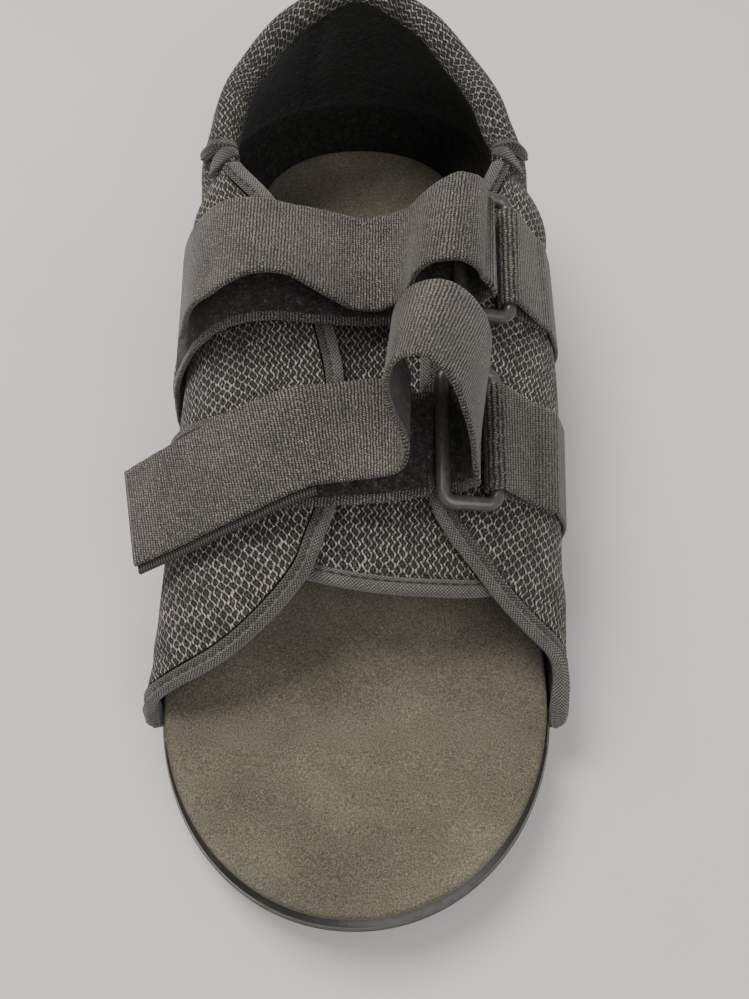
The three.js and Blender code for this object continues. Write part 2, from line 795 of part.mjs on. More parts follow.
function tongueBinding() {
  const inner = tongueOuter - tongueThickness - 2 * tapeThickness;
  return slab(
    tongueGrid(0, tapeWidth, tongueOuter, tongueColumns, 1),
    tongueGrid(0, tapeWidth, inner, tongueColumns, 1),
  );
}

// A frame on the upper for each ring: its bars run along the shoe
const ringLift = strapRest + strapThickness + seam + ringBar / 2;

function ringFrame([acrossShare, alongShare]) {
  const across = acrossShare * halfBall;
  const fromToe = alongShare * footbedLength;
  const reach = ringLength / 2;
  const centre = overInstep(across, fromToe, ringLift);
  const bar = overInstep(across, fromToe + reach, ringLift)
    .sub(overInstep(across, fromToe - reach, ringLift)).normalize();
  const over = overInstep(across + ringWidth / 2, fromToe, 0)
    .sub(overInstep(across - ringWidth / 2, fromToe, 0)).normalize();
  const out = vec(0, 0, 0).crossVectors(over, bar).normalize();
  over.crossVectors(bar, out);
  const at = (acrossRing, alongRing, above) => centre.clone()
    .addScaledVector(over, acrossRing).addScaledVector(bar, alongRing).addScaledVector(out, above);
  return { at, bar, over, out, across, fromToe };
}

const frames = { front: ringFrame(RINGS.front), rear: ringFrame(RINGS.rear) };

// A rectangular ring with round bars and rounded corners
function ring(frame) {
  const halfAcross = (ringWidth - ringBar) / 2;
  const halfAlong = (ringLength - ringBar) / 2;
  const path = [];
  const cornerSteps = 4;
  const corners = [[1, 1, 0], [-1, 1, 90], [-1, -1, 180], [1, -1, 270]];
  for (const [signAcross, signAlong, from] of corners) {
    for (let i = 0; i <= cornerSteps; i += 1) {
      const angle = (from + (i / cornerSteps) * 90) * degree;
      path.push({
        across: signAcross * (halfAcross - ringCorner) + ringCorner * Math.cos(angle),
        along: signAlong * (halfAlong - ringCorner) + ringCorner * Math.sin(angle),
        angle,
      });
    }
  }
  const sides = 10;
  const points = [];
  const faces = [];
  for (const { across, along, angle } of path) {
    for (let k = 0; k < sides; k += 1) {
      const round = (k / sides) * 360 * degree;
      const outwards = (ringBar / 2) * Math.cos(round);
      points.push(frame.at(across + outwards * Math.cos(angle), along + outwards * Math.sin(angle),
        (ringBar / 2) * Math.sin(round)));
    }
  }
  for (let i = 0; i < path.length; i += 1) {
    const next = (i + 1) % path.length;
    for (let k = 0; k < sides; k += 1) {
      const turn = (k + 1) % sides;
      const [a, b] = [i * sides + k, next * sides + k];
      const [c, d] = [next * sides + turn, i * sides + turn];
      faces.push([a, b, c], [a, c, d]);
    }
  }
  return solidGeometry(points, faces);
}

// A flat band along folds. Each fold has its middle and the way its width runs.
function band(folds, width, thickness) {
  const outer = [];
  const inner = [];
  folds.forEach(({ middle, width: across }, i) => {
    const before = folds[Math.max(0, i - 1)].middle;
    const after = folds[Math.min(folds.length - 1, i + 1)].middle;
    const way = after.clone().sub(before);
    const normal = vec(0, 0, 0).crossVectors(across, way).normalize();
    const corner = (share, side) => middle.clone()
      .addScaledVector(across, (share * width) / 2).addScaledVector(normal, (side * thickness) / 2);
    outer.push([corner(-1, 1), corner(1, 1)]);
    inner.push([corner(-1, -1), corner(1, -1)]);
  });
  return slab(outer, inner);
}

// More folds between the given ones, on a smooth curve through them
function smoothFolds(folds, steps) {
  const middles = new THREE.CatmullRomCurve3(folds.map((fold) => fold.middle), false, "centripetal");
  const widths = new THREE.CatmullRomCurve3(folds.map((fold) => fold.width), false, "centripetal");
  const count = (folds.length - 1) * steps;
  return Array.from({ length: count + 1 }, (_, i) => ({
    middle: middles.getPoint(i / count),
    width: widths.getPoint(i / count).normalize(),
  }));
}

// A fold that lies on the upper
function restingFold(hoop, alongShare, off, width) {
  const climb = 2 - Math.abs(hoop);
  const hand = hoop < 0 ? -1 : 1;
  const runAt = (shift) => (alongShare * footbedLength + shift) / heelCentre;
  const middle = raised(runAt(0), hand, climb, off);
  const across = raised(runAt(width / 2), hand, climb, off)
    .sub(raised(runAt(-width / 2), hand, climb, off)).normalize();
  return { middle, width: across };
}

// A fold in the air
function freeFold({ across, along, up, lean, yaw }) {
  const middle = place(across * halfBall, along * footbedLength, up * instepHeight);
  const width = vec(-Math.sin(yaw * degree), Math.cos(yaw * degree) * Math.cos(lean * degree),
    Math.sin(lean * degree));
  return { middle, width };
}

// Folds under a ring's left bar and up through the ring
function ringFolds(frame) {
  const barAcross = (ringWidth - ringBar) / 2;
  const depth = ringBar / 2 + seam + strapThickness / 2;
  return THREADING.rows.map((row) => {
    const { bar, across, above, under } = named(THREADING, row);
    const middle = frame.at(bar * barAcross + across * ringBar, 0, above * ringBar - under * depth);
    return { middle, width: frame.bar.clone() };
  });
}

// Folds on the upper, close enough together to follow its curve
function restingFolds(table, off, width) {
  const [from, to] = [table.rows[0][0], table.rows[table.rows.length - 1][0]];
  const count = Math.ceil((to - from) / strapFoldStep);
  return Array.from({ length: count + 1 }, (_, i) => {
    const { hoop, along, lift } = read(table, mix(from, to, i / count));
    return restingFold(hoop, along, off + lift * strapThickness, width);
  });
}

function strap(underTable, frame, outerTable) {
  const under = restingFolds(underTable, strapRest + strapThickness / 2, strapWidth);
  const outer = outerTable.rows.map((row) => freeFold(named(outerTable, row)));
  const free = smoothFolds([under[under.length - 1], ...ringFolds(frame), ...outer], 3);
  return band([...under.slice(0, -1), ...free], strapWidth, strapThickness);
}

// Hook tape sewn under the end of a strap's free part, shifted towards the toe
function hookTape(outerTable, from) {
  const folds = smoothFolds(outerTable.rows.slice(from)
    .map((row) => freeFold(named(outerTable, row))), 3);
  const drop = (strapThickness + hookThickness) / 2 + seam;
  const moved = folds.map(({ middle, width }, i) => {
    const before = folds[Math.max(0, i - 1)].middle;
    const after = folds[Math.min(folds.length - 1, i + 1)].middle;
    const way = after.clone().sub(before);
    const normal = vec(0, 0, 0).crossVectors(width, way).normalize();
    const down = normal.z > 0 ? -drop : drop;
    const shifted = middle.clone().addScaledVector(normal, down).addScaledVector(width, -hookShift);
    return { middle: shifted, width };
  });
  return band(moved, strapWidth - 2 * hookInset, hookThickness);
}

// Webbing folded round a ring's right bar and sewn down over the quarter.
// The lower layer stops short, under the upper one.
function chape(frame) {
  const alongShare = frame.fromToe / footbedLength;
  const width = ringLength - 2 * ringBar - ringCorner;
  const barAcross = (ringWidth - ringBar) / 2;
  const round = ringBar / 2 + seam + webbingThickness / 2;
  const low = seam + webbingThickness / 2;
  const high = low + webbingThickness + seam;
  const layer = (from, to, off) => {
    const count = Math.ceil(Math.abs(to - from) / chapeFoldStep);
    return Array.from({ length: count + 1 }, (_, i) => {
      const hoop = mix(from, to, i / count);
      const lift = chapeFootLift * smooth((hoop - 1) / (chapeFoot - 1));
      return restingFold(hoop, alongShare, off + lift, width);
    });
  };
  const roll = [];
  for (let angle = chapeRoll.from; angle >= chapeRoll.to; angle -= chapeRoll.step) {
    const across = barAcross + round * Math.cos(angle * degree);
    roll.push({
      middle: frame.at(across, 0, round * Math.sin(angle * degree)),
      width: frame.bar.clone(),
    });
  }
  const beside = hoopAt(frame.across + ringWidth / 2 + ringBar, frame.fromToe);
  const under = layer(chapeEnd, 2 - beside.climb, low);
  const over = [
    ...layer(2 - beside.climb + chapeFoldStep, chapeEnd, high),
    ...layer(chapeEnd + 2 * chapeFoldStep, chapeFoot, low),
  ];
  const folds = smoothFolds([under[under.length - 1], ...roll, over[0]], 2);
  return band([...under.slice(0, -1), ...folds, ...over.slice(1)], width, webbingThickness);
}

// Materials
const cloth = (color, roughness) => new THREE.MeshStandardMaterial({ color, roughness, metalness: 0 });
const materials = {
  outsole: cloth(0x1d1a17, 0.6),
  footbed: cloth(0x57534a, 0.9),
  mesh: cloth(0x2a2724, 0.85),
  tape: cloth(0x26231f, 0.8),
  strap: cloth(0x33302d, 0.75),
  hook: cloth(0x262320, 0.7),
  ring: new THREE.MeshStandardMaterial({ color: 0x202122, roughness: 0.4, metalness: 0.2 }),
};

const shoe = new THREE.Group();
function add(name, geometry, material) {
  const mesh = new THREE.Mesh(geometry, material);
  mesh.name = name;
  shoe.add(mesh);
}

add("outsole", outsole(), materials.outsole);
add("footbed", footbed(), materials.footbed);
add("upper", upper(), materials.mesh);
add("left_binding", flapBinding(-1), materials.tape);
add("right_binding", flapBinding(1), materials.tape);
add("tongue", tongue(), materials.mesh);
add("tongue_binding", tongueBinding(), materials.tape);
add("front_ring", ring(frames.front), materials.ring);
add("rear_ring", ring(frames.rear), materials.ring);
add("front_chape", chape(frames.front), materials.strap);
add("rear_chape", chape(frames.rear), materials.strap);
add("front_strap", strap(FRONT_UNDER, frames.front, FRONT_OUTER), materials.strap);
add("rear_strap", strap(REAR_UNDER, frames.rear, REAR_OUTER), materials.strap);
add("front_hook_tape", hookTape(FRONT_OUTER, hookFirstFold), materials.hook);

export default shoe;
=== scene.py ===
"""Looks of the post operative shoe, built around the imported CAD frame.

Sizes are in millimetres here and become metres when a mesh is made. The
forms come from the same tables as the CAD part, read more finely.
"""
import math

import bpy
import numpy as np
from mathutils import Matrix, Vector


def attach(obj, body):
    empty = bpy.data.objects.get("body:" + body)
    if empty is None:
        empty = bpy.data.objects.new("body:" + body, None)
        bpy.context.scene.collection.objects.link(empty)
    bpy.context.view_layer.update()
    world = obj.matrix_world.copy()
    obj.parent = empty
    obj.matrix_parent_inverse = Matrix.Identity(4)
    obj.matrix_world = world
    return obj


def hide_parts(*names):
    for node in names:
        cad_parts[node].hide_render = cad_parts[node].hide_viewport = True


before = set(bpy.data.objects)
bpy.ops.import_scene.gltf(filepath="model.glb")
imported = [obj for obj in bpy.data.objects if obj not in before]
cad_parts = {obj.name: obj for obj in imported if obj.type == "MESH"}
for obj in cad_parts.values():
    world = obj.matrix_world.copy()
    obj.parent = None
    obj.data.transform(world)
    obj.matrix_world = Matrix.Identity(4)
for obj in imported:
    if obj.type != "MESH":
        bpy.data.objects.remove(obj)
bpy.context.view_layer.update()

MM = 0.001
QUARTER = math.pi / 2
random = np.random.default_rng(7)

# Footbed and sole sizes
footbed_length = 265
ball_width = 109
heel_width = 74
toe_depth = 62
heel_depth = 33
toe_fullness = 2.05
heel_fullness = 2.2
footbed_thickness = 7.4
footbed_round = 1.6
outsole_thickness = 14.3
outsole_overhang = 2.4
outsole_round = 3
side_rib_depth = 0.8
side_rib_height = 2.4
toe_rocker = 8
rocker_curve = 1.8
toe_lift = 3
heel_bevel = 3.5
bevel_curve = 1.5
arch_rise = 2.6
heel_flat_length = 44
ball_flat_length = 52
ball_flat_from_toe = 74
lug_depth = 2
lug_gap = 3
lug_pitch = 12.5
lug_wave = 3.5
groove_chamfer = 0.4
groove_draft = 0.2
ball_grooves = 7
heel_grooves = 4
fine_ribs = 3
fine_rib_depth = 0.32
first_groove_from_toe = 42.75

# Upper, tongue, strap and ring sizes
wall = 3
instep_height = 76
lasting_margin = 8
collar_pad = 9.5
pad_start = 0.9
pad_full = 0.05
tape_width = 5
tape_thickness = 0.8
notch_from_toe = 207
flap_start = 0.2395
steep_end = 0.33
section_fullness = 2.2
lowest_tape = -0.2
tongue_thickness = 2.4
tongue_length = 106
tongue_width = 76
tongue_from_toe = 77
tongue_centre = 7
strap_width = 30
strap_thickness = 1.6
ring_bar = 4
ring_length = 41
ring_width = 19
ring_corner = 3
webbing_thickness = 1.2
hook_thickness = 1.4
hook_inset = 1
hook_shift = 3
hook_first_fold = 17
seam = 0.3
tape_seam = 0.6
binding_crossing = 0.3

# Worked out from these
half_ball = ball_width / 2
half_heel = heel_width / 2
heel_centre = footbed_length - heel_depth
sole_top = outsole_thickness + seam
footbed_top = sole_top + footbed_thickness
corner_radius = wall + 2 * seam
margin_height = outsole_thickness - wall
rebate_floor = margin_height - seam
heel_flat_back = heel_centre + heel_depth / 2
heel_rest_from_toe = heel_flat_back - heel_flat_length / 2
tape_outer = tape_thickness
tape_inner = wall + tape_thickness
strap_rest = tape_outer + binding_crossing
notch_run = notch_from_toe / heel_centre

# Tape wound over the front ends of the collar, and the rounded front ends of
# the flaps' tape
wrap_run = 0.916
wrap_reach = 0.013
wrap_pinch = 1.9
wrap_length = 8
nose = 2.2


class Table:
    """Rows with named columns, read on a smooth curve by the first column."""

    def __init__(self, columns, rows):
        self.columns = columns.split()
        self.rows = np.array([line.split() for line in rows.strip().splitlines()], float)

    def read(self, at):
        at = np.asarray(at, float)
        rows = self.rows
        last = len(rows) - 1
        i = np.clip(np.searchsorted(rows[:, 0], at, side="left") - 1, 0, last - 1)
        a, b = rows[i], rows[i + 1]
        before, after = rows[np.maximum(i - 1, 0)], rows[np.minimum(i + 2, last)]
        span = (b[..., 0] - a[..., 0])[..., None]
        share = np.clip((at[..., None] - a[..., :1]) / span, 0, 1)
        slope_a = (b - before) / (b[..., :1] - before[..., :1])
        slope_b = (after - a) / (after[..., :1] - a[..., :1])
        s2, s3 = share**2, share**3
        value = ((2 * s3 - 3 * s2 + 1) * a + (s3 - 2 * s2 + share) * span * slope_a
                 + (3 * s2 - 2 * s3) * b + (s3 - s2) * span * slope_b)
        return {name: value[..., k] for k, name in enumerate(self.columns)}


WAIST = Table("run narrow", """
    0 0
    0.15 0.05
    0.32 0.24
    0.49 0.5
    0.66 0.78
    0.83 0.95
    1 1
""")
SECTIONS = Table("run side side_up crown left right sway pad", """
    0.218 1.085 0.22 0.31 1.075 1.075 0 0
    0.228 1.085 0.25 0.4 1.07 1.07 0 0
    0.238 1.085 0.28 0.48 1.02 1.07 0 0
    0.25 1.085 0.3 0.54 0.88 1.07 0 0
    0.267 1.08 0.32 0.58 0.7 1.05 0.01 0
    0.285 1.07 0.34 0.62 0.57 0.99 0.02 0
    0.306 1.065 0.35 0.66 0.45 0.84 0.02 0
    0.332 1.055 0.37 0.7 0.34 0.69 0.03 0
    0.362 1.05 0.4 0.74 0.25 0.56 0.04 0
    0.397 1.045 0.42 0.78 0.19 0.43 0.04 0
    0.431 1.045 0.44 0.81 0.14 0.34 0.045 0
    0.496 1.04 0.47 0.85 0.125 0.28 0.06 0
    0.582 1.035 0.51 0.9 0.13 0.255 0.075 0
    0.647 1.03 0.54 0.94 0.19 0.27 0.08 0
    0.711 1.02 0.57 0.975 0.26 0.33 0.075 0
    0.776 1.015 0.6 1.01 0.36 0.44 0.07 0
    0.841 1.015 0.61 1.065 0.54 0.59 0.065 0.1
    0.892 1.01 0.61 1.15 0.72 0.71 0.055 0.35
    0.935 0.98 0.6 1.3 0.82 0.82 0.04 0.9
    1 0.92 0.58 1.37 0.77 0.77 0.02 1
    1.3 0.86 0.56 1.38 0.705 0.705 0 1
    1.6 0.8 0.54 1.62 0.685 0.685 0 1
    2 0.76 0.53 1.8 0.65 0.65 0 1
    2.4 0.8 0.54 1.62 0.685 0.685 0 1
""")
TONGUE = Table("across front rear", """
    -0.45 0.07 0.97
    -0.3 0.045 1
    -0.15 0.02 1
    0 0.005 1
    0.15 0 1
    0.35 0.005 1
    0.5 0.03 0.97
""")
FRONT_UNDER = Table("hoop along lift", """
    -1.72 0.4365 0.5
    -1.35 0.4345 0.4
    -1 0.4325 0.2
    -0.75 0.4305 0
    -0.5 0.4295 0
    -0.25 0.4295 0
    0 0.432 0
    0.18 0.442 0
""")
REAR_UNDER = Table("hoop along lift", """
    -1.72 0.5815 0.6
    -1.35 0.5865 0.4
    -1 0.5965 0.3
    -0.75 0.6085 1
    -0.6 0.6185 2.3
    -0.45 0.6265 3.3
    -0.3 0.6275 2.9
    -0.15 0.6235 1
    -0.04 0.622 -0.3
    0.06 0.625 -0.6
    0.18 0.641 0
""")
FRONT_OUTER = Table("across along up lean yaw", """
    0.605 0.448 1.004 0 -8
    0.593 0.451 1.118 -10 -11
    0.568 0.4585 1.218 -17 -16
    0.528 0.4687 1.302 -20 -19
    0.464 0.479 1.355 -19 -19
    0.378 0.4878 1.386 -17 -16
    0.298 0.4912 1.376 -16 -13
    0.226 0.4911 1.338 -16 -10
    0.182 0.4867 1.274 -17 -7
    0.169 0.48 1.198 -18 -5
    0.197 0.47 1.116 -20 -4
    0.24 0.4608 1.046 -20 -3
    0.256 0.4532 1.006 -15 -2
    0.23 0.4482 0.97 -8 0
    0.171 0.4465 0.952 -1 0
    0.028 0.4445 0.942 1 3
    -0.112 0.4413 0.938 1 7
    -0.227 0.4366 0.951 2 10
    -0.32 0.4313 0.945 3 12
    -0.474 0.4223 0.905 4 13
    -0.67 0.4111 0.837 4 13
    -0.931 0.3988 0.722 3 13
    -1.157 0.3884 0.622 0 11
""")
REAR_OUTER = Table("across along up lean yaw", """
    0.657 0.6485 1.11 1 -4
    0.638 0.6455 1.17 2 -5
    0.598 0.6425 1.22 1 -6
    0.542 0.64 1.252 0 -7
    0.483 0.6385 1.262 0 -7
    0.416 0.637 1.248 -2 -8
    0.357 0.6355 1.216 -4 -7
    0.312 0.6335 1.172 -4 -5
    0.278 0.6312 1.125 -3 -2
    0.23 0.6292 1.087 2 0
    0.163 0.6278 1.058 6 0
    0.075 0.6263 1.048 6 0
    -0.013 0.626 1.058 5 0
    -0.162 0.6266 1.12 -3 1
    -0.342 0.6292 1.183 -13 1
    -0.508 0.6295 1.198 -9 1
    -0.643 0.6284 1.163 -1 0
    -0.725 0.6284 1.115 2 0
    -0.788 0.6289 1.07 1 0
    -0.836 0.6286 1.02 -1 1
    -0.882 0.6278 0.947 -2 2
    -0.925 0.6264 0.843 -2 2
""")
first_run = SECTIONS.rows[0, 0]
near = 0.004  # a small step in run or climb, to find a direction
RINGS = {"front": (0.545, 0.4475), "rear": (0.64, 0.652)}
THREADING = Table("bar across above under", """
    -1 -1 0 1
    -1 0.25 0 1
    0 -0.5 0 0.5
    0 -0.25 0.5 0
    0 0 1.6 0
""")
chape_end = 0.72
chape_foot = 1.62
chape_foot_lift = 1.5
chape_roll = np.arange(-90, -316, -25)
strap_fold_step = 0.1
chape_fold_step = 0.08


# Points and directions

def place(x, from_toe, z):
    return np.stack(np.broadcast_arrays(x, np.asarray(from_toe) - heel_rest_from_toe, z), -1)


def mix(a, b, share):
    return a + (b - a) * share


def smooth(share):
    held = np.clip(share, 0, 1)
    return held * held * (3 - 2 * held)


def unit(v):
    return v / np.maximum(np.linalg.norm(v, axis=-1, keepdims=True), 1e-9)


def lengths(points):
    """Distance along a line of points, from its start."""
    steps = np.linalg.norm(np.diff(points, axis=0), axis=-1)
    return np.concatenate([[0], np.cumsum(steps)])


# The last's outline and heights

def waist_half_width(from_toe):
    narrow = WAIST.read((np.asarray(from_toe, float) - toe_depth) / (heel_centre - toe_depth))["narrow"]
    return mix(half_ball, half_heel, narrow)


def toe_half_width(from_toe):
    behind = np.maximum(0, 1 - np.asarray(from_toe, float) / toe_depth)
    return half_ball * (1 - behind**toe_fullness) ** (1 / toe_fullness)


def bed_half_width(from_toe):
    return np.where(np.asarray(from_toe) < toe_depth, toe_half_width(from_toe), waist_half_width(from_toe))


def heel_radius(turn):
    across = (np.abs(np.cos(turn)) / half_heel) ** heel_fullness
    back = (np.abs(np.sin(turn)) / heel_depth) ** heel_fullness
    return (across + back) ** (-1 / heel_fullness)


def half_outline(toe_steps=46, side_steps=90, heel_steps=36):
    turn = np.linspace(0, QUARTER, toe_steps, endpoint=False)
    share = 2 / toe_fullness
    toe = np.stack([half_ball * np.sin(turn) ** share, toe_depth * (1 - np.cos(turn) ** share)], -1)
    from_toe = np.linspace(toe_depth, heel_centre, side_steps, endpoint=False)
    side = np.stack([waist_half_width(from_toe), from_toe], -1)
    turn = np.linspace(0, QUARTER, heel_steps + 1)
    radius = heel_radius(turn)
    heel = np.stack([radius * np.cos(turn), heel_centre + radius * np.sin(turn)], -1)
    half = np.concatenate([toe, side, heel])
    half[0, 0] = half[-1, 0] = 0
    return half


HALF = half_outline()


def moved_outline(out):
    before = np.concatenate([[[-HALF[1, 0], HALF[1, 1]]], HALF[:-1]])
    after = np.concatenate([HALF[1:], [[-HALF[-2, 0], HALF[-2, 1]]]])
    way = unit(after - before)
    right = HALF + out * np.stack([way[:, 1], -way[:, 0]], -1)
    left = right[-2:0:-1] * [-1, 1]
    return np.concatenate([right, left])


def top_lift(from_toe):
    return toe_lift * (1 - np.clip(np.asarray(from_toe) / toe_depth, 0, 1)) ** 2


def bottom_height(from_toe):
    t = np.asarray(from_toe, float)
    ball_flat_end = ball_flat_from_toe + ball_flat_length
    heel_flat_start = heel_flat_back - heel_flat_length
    rocker = toe_rocker * np.clip((ball_flat_from_toe - t) / ball_flat_from_toe, 0, None) ** rocker_curve
    share = np.clip((t - ball_flat_end) / (heel_flat_start - ball_flat_end), 0, 1)
    behind = np.clip((t - heel_flat_back) / (footbed_length - heel_flat_back), 0, 1)
    return rocker + arch_rise * np.sin(math.pi * share) ** 2 + heel_bevel * behind**bevel_curve


# The upper's surface. climb goes from -2 at the inner edge of the lasting
# margin, -1 and 0 at the turned corner, 1 at the widest place to 2 at the
# crown. hand is -1 on the left and 1 on the right.

def skin(run, hand, climb):
    run, hand, climb = (np.asarray(a, float) for a in np.broadcast_arrays(run, hand, climb))
    s = SECTIONS.read(run)
    turn = np.maximum(0, run - 1) * QUARTER
    from_toe = np.minimum(run, 1) * heel_centre
    foot = np.where(run > 1, heel_radius(turn), bed_half_width(from_toe)) + seam + tape_inner
    foot_up = margin_height + corner_radius
    side, side_up, crown = s["side"] * half_ball, s["side_up"] * instep_height, s["crown"] * instep_height
    corner, arc = np.clip(climb + 1, 0, 1) * QUARTER, np.clip(climb - 1, 0, 1) * QUARTER
    low = np.clip(climb, 0, 1)
    share = 2 / section_fullness
    parts = [climb < -1, climb < 0, climb < 1]
    radius = np.select(parts, [
        foot - corner_radius + (climb + 1) * lasting_margin,
        foot - corner_radius + corner_radius * np.sin(corner),
        mix(foot, side, (1 - np.cos(math.pi * low)) / 2),
    ], side * np.maximum(0, np.cos(arc)) ** share)
    up = np.select(parts, [
        margin_height + 0 * run,
        foot_up - corner_radius * np.cos(corner),
        mix(foot_up, side_up, low),
    ], side_up + (crown - side_up) * np.maximum(0, np.sin(arc)) ** share)
    across = hand * radius * np.cos(turn) + s["sway"] * half_ball * low
    return place(across, from_toe + radius * np.sin(turn), up)


def outward(run, hand, climb):
    run, hand, climb = (np.asarray(a, float) for a in np.broadcast_arrays(run, hand, climb))
    along_wall = skin(run, hand, np.minimum(2, climb + near)) - skin(run, hand, climb - near)
    along_shoe = (skin(np.minimum(2, run + near), hand, climb)
                  - skin(np.maximum(first_run, run - near), hand, climb))
    return unit(np.cross(along_shoe, along_wall)) * hand[..., None]


def raised(run, hand, climb, off):
    return skin(run, hand, climb) + outward(run, hand, climb) * np.asarray(off)[..., None]


def edge_climb(run, hand):
    s = SECTIONS.read(run)
    edge = np.where(np.asarray(hand) < 0, s["left"], s["right"])
    return 1 + np.arccos(np.minimum(1, edge / s["side"]) ** (section_fullness / 2)) / QUARTER


def edge_line(hand):
    run = np.linspace(first_run, 2, 420)
    return skin(run, hand, edge_climb(run, hand))


EDGES = {-1: edge_line(-1), 1: edge_line(1)}


def distance_to_edge(points, hand):
    line = EDGES[hand]
    start, way = line[:-1], np.diff(line, axis=0)
    gap = points[:, None, :] - start[None]
    share = np.clip((gap * way).sum(-1) / (way * way).sum(-1), 0, 1)
    return np.linalg.norm(gap - share[..., None] * way, axis=-1).min(1)


def inset_climb(run, hand, inset, lowest=-1.0):
    """Places that lie a distance in from the opening's edge, one per section."""
    run = np.asarray(run, float)
    inset = np.broadcast_to(np.asarray(inset, float), run.shape)
    low, high = np.full(run.shape, float(lowest)), edge_climb(run, hand)
    too_near = distance_to_edge(skin(run, hand, low), hand) < inset
    for _ in range(20):
        middle = (low + high) / 2
        far = distance_to_edge(skin(run, hand, middle), hand) > inset
        low, high = np.where(far, middle, low), np.where(far, high, middle)
    return np.where(too_near, lowest, high)


def wall_thickness(run, hand, climb):
    pad = SECTIONS.read(run)["pad"]
    share = smooth((climb - pad_start) / (edge_climb(run, hand) - pad_full - pad_start))
    return mix(wall, collar_pad, pad * share)


def hoop_at(across, from_toe):
    run = np.asarray(from_toe, float) / heel_centre
    s = SECTIONS.read(run)
    away = across - s["sway"] * half_ball
    share = np.minimum(1, np.abs(away) / (s["side"] * half_ball))
    climb = 1 + np.arccos(share ** (section_fullness / 2)) / QUARTER
    return run, np.where(away < 0, -1.0, 1.0), climb


def over_instep(across, from_toe, off):
    run, hand, climb = hoop_at(across, from_toe)
    return raised(run, hand, climb, off)


# Meshes

def grid_faces(rows, columns, wrap=False):
    i = np.arange(rows - 1)[:, None]
    j = np.arange(columns if wrap else columns - 1)[None]
    k = (j + 1) % columns
    return np.stack(np.broadcast_arrays(i * columns + j, (i + 1) * columns + j,
                                        (i + 1) * columns + k, i * columns + k), -1).reshape(-1, 4)


def volume(points, faces):
    a, b, c, d = (points[faces[:, k]] for k in range(4))
    return (np.cross(b, c) * a).sum() + (np.cross(c, d) * a).sum()


def add(name, data):
    made = bpy.data.objects.new(name, data)
    bpy.context.scene.collection.objects.link(made)
    return made


def make(name, points, faces, uvs, materials, kinds, body="root"):
    """A smooth mesh that rides on the shoe. uvs has one pair per face corner, in millimetres."""
    mesh = bpy.data.meshes.new(name)
    used, index = np.unique(np.concatenate([np.asarray(f) for f in faces]), return_inverse=True)
    sizes = [len(f) for f in faces]
    starts = np.concatenate([[0], np.cumsum(sizes)[:-1]])
    mesh.vertices.add(len(used))
    mesh.vertices.foreach_set("co", (points[used] * MM).astype(np.float32).ravel())
    mesh.loops.add(len(index))
    mesh.loops.foreach_set("vertex_index", index.astype(np.int32).ravel())
    mesh.polygons.add(len(sizes))
    mesh.polygons.foreach_set("loop_start", starts.astype(np.int32))
    mesh.update(calc_edges=True)
    mesh.uv_layers.new(name="cloth").data.foreach_set("uv", np.asarray(uvs, np.float32).ravel())
    for material in materials:
        mesh.materials.append(material)
    mesh.polygons.foreach_set("material_index", np.asarray(kinds, np.int32))
    mesh.polygons.foreach_set("use_smooth", np.ones(len(sizes), bool))
    mesh.validate()
    made = add(name, mesh)
    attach(made, body)
    return made


def grid_parts(grids, uvs, kinds=0, wrap=False, caps=False, keep=True):
    """Points, faces, corners and kinds of grids, turned outwards where they wrap."""
    points, faces, corners, sorts = [], [], [], []
    for grid, uv in zip(grids, uvs):
        rows, columns = grid.shape[:2]
        base = sum(map(len, points))
        points.append(grid.reshape(-1, 3))
        quads, uv_quads = grid_faces(rows, columns, wrap), grid_faces(rows, uv.shape[1])
        order = -1 if wrap and volume(points[-1], quads) < 0 else 1
        shape = (rows - 1, uv.shape[1] - 1)
        chosen = np.broadcast_to(keep, shape).ravel()
        faces += list(base + quads[chosen][:, ::order])
        corners.append(uv.reshape(-1, 2)[uv_quads[chosen][:, ::order]].reshape(-1, 2))
        sorts += list(np.broadcast_to(kinds, shape).ravel()[chosen])
        if caps:
            around = np.arange(columns)
            for end in (around[::order], ((rows - 1) * columns + around)[::-order]):
                faces.append(base + end)
                corners.append(uv[0, end % columns])
                sorts.append(0)
    return np.concatenate(points), faces, np.concatenate(corners), sorts


def grid_object(name, grids, uvs, materials, **options):
    """A mesh from grids of points. Where they wrap, uvs have a column more than the grids."""
    points, faces, corners, kinds = grid_parts(grids, uvs, **options)
    return make(name, points, faces, corners, materials, kinds)


def closed(uv, last=1):
    """The same places with the column that closes a wrapped grid."""
    return np.concatenate([uv, uv[:, -1:] + [0, last]], 1)


def cloth_places(grid, column, last=1):
    """Distances along one column of a grid, and across from its first column."""
    steps = np.linalg.norm(np.diff(grid, axis=1), axis=-1)
    across = np.concatenate([0 * steps[:, :1], np.cumsum(steps, 1)], 1)
    along = np.broadcast_to(lengths(grid[:, column])[:, None], across.shape)
    return closed(np.stack([along, across], -1), last)


def closed_slab(name, top, under, uv, materials):
    """A closed skin round two grids of the same size."""
    uv = np.concatenate([uv, uv[:, ::-1], uv[:, :1]], 1)
    grid = np.concatenate([top, under[:, ::-1]], 1)
    return grid_object(name, [grid], [uv], materials, wrap=True, caps=True)


def tube(line, beside, up, radius, sides):
    """Rings of points round a line."""
    turn = (2 * math.pi * np.arange(sides) / sides)[None, :, None]
    up = np.broadcast_to(up, line.shape)[:, None]
    radius = np.broadcast_to(radius, len(line))[:, None, None]
    return line[:, None] + radius * (np.cos(turn) * beside[:, None] + np.sin(turn) * up)


def tubes(name, grids, step, material):
    """Closed tubes in one mesh."""
    uvs = [np.stack(np.meshgrid(step * np.arange(len(grid)), np.arange(grid.shape[1] + 1), indexing="ij"), -1)
           for grid in grids]
    return grid_object(name, grids, uvs, [material], wrap=True, caps=True)


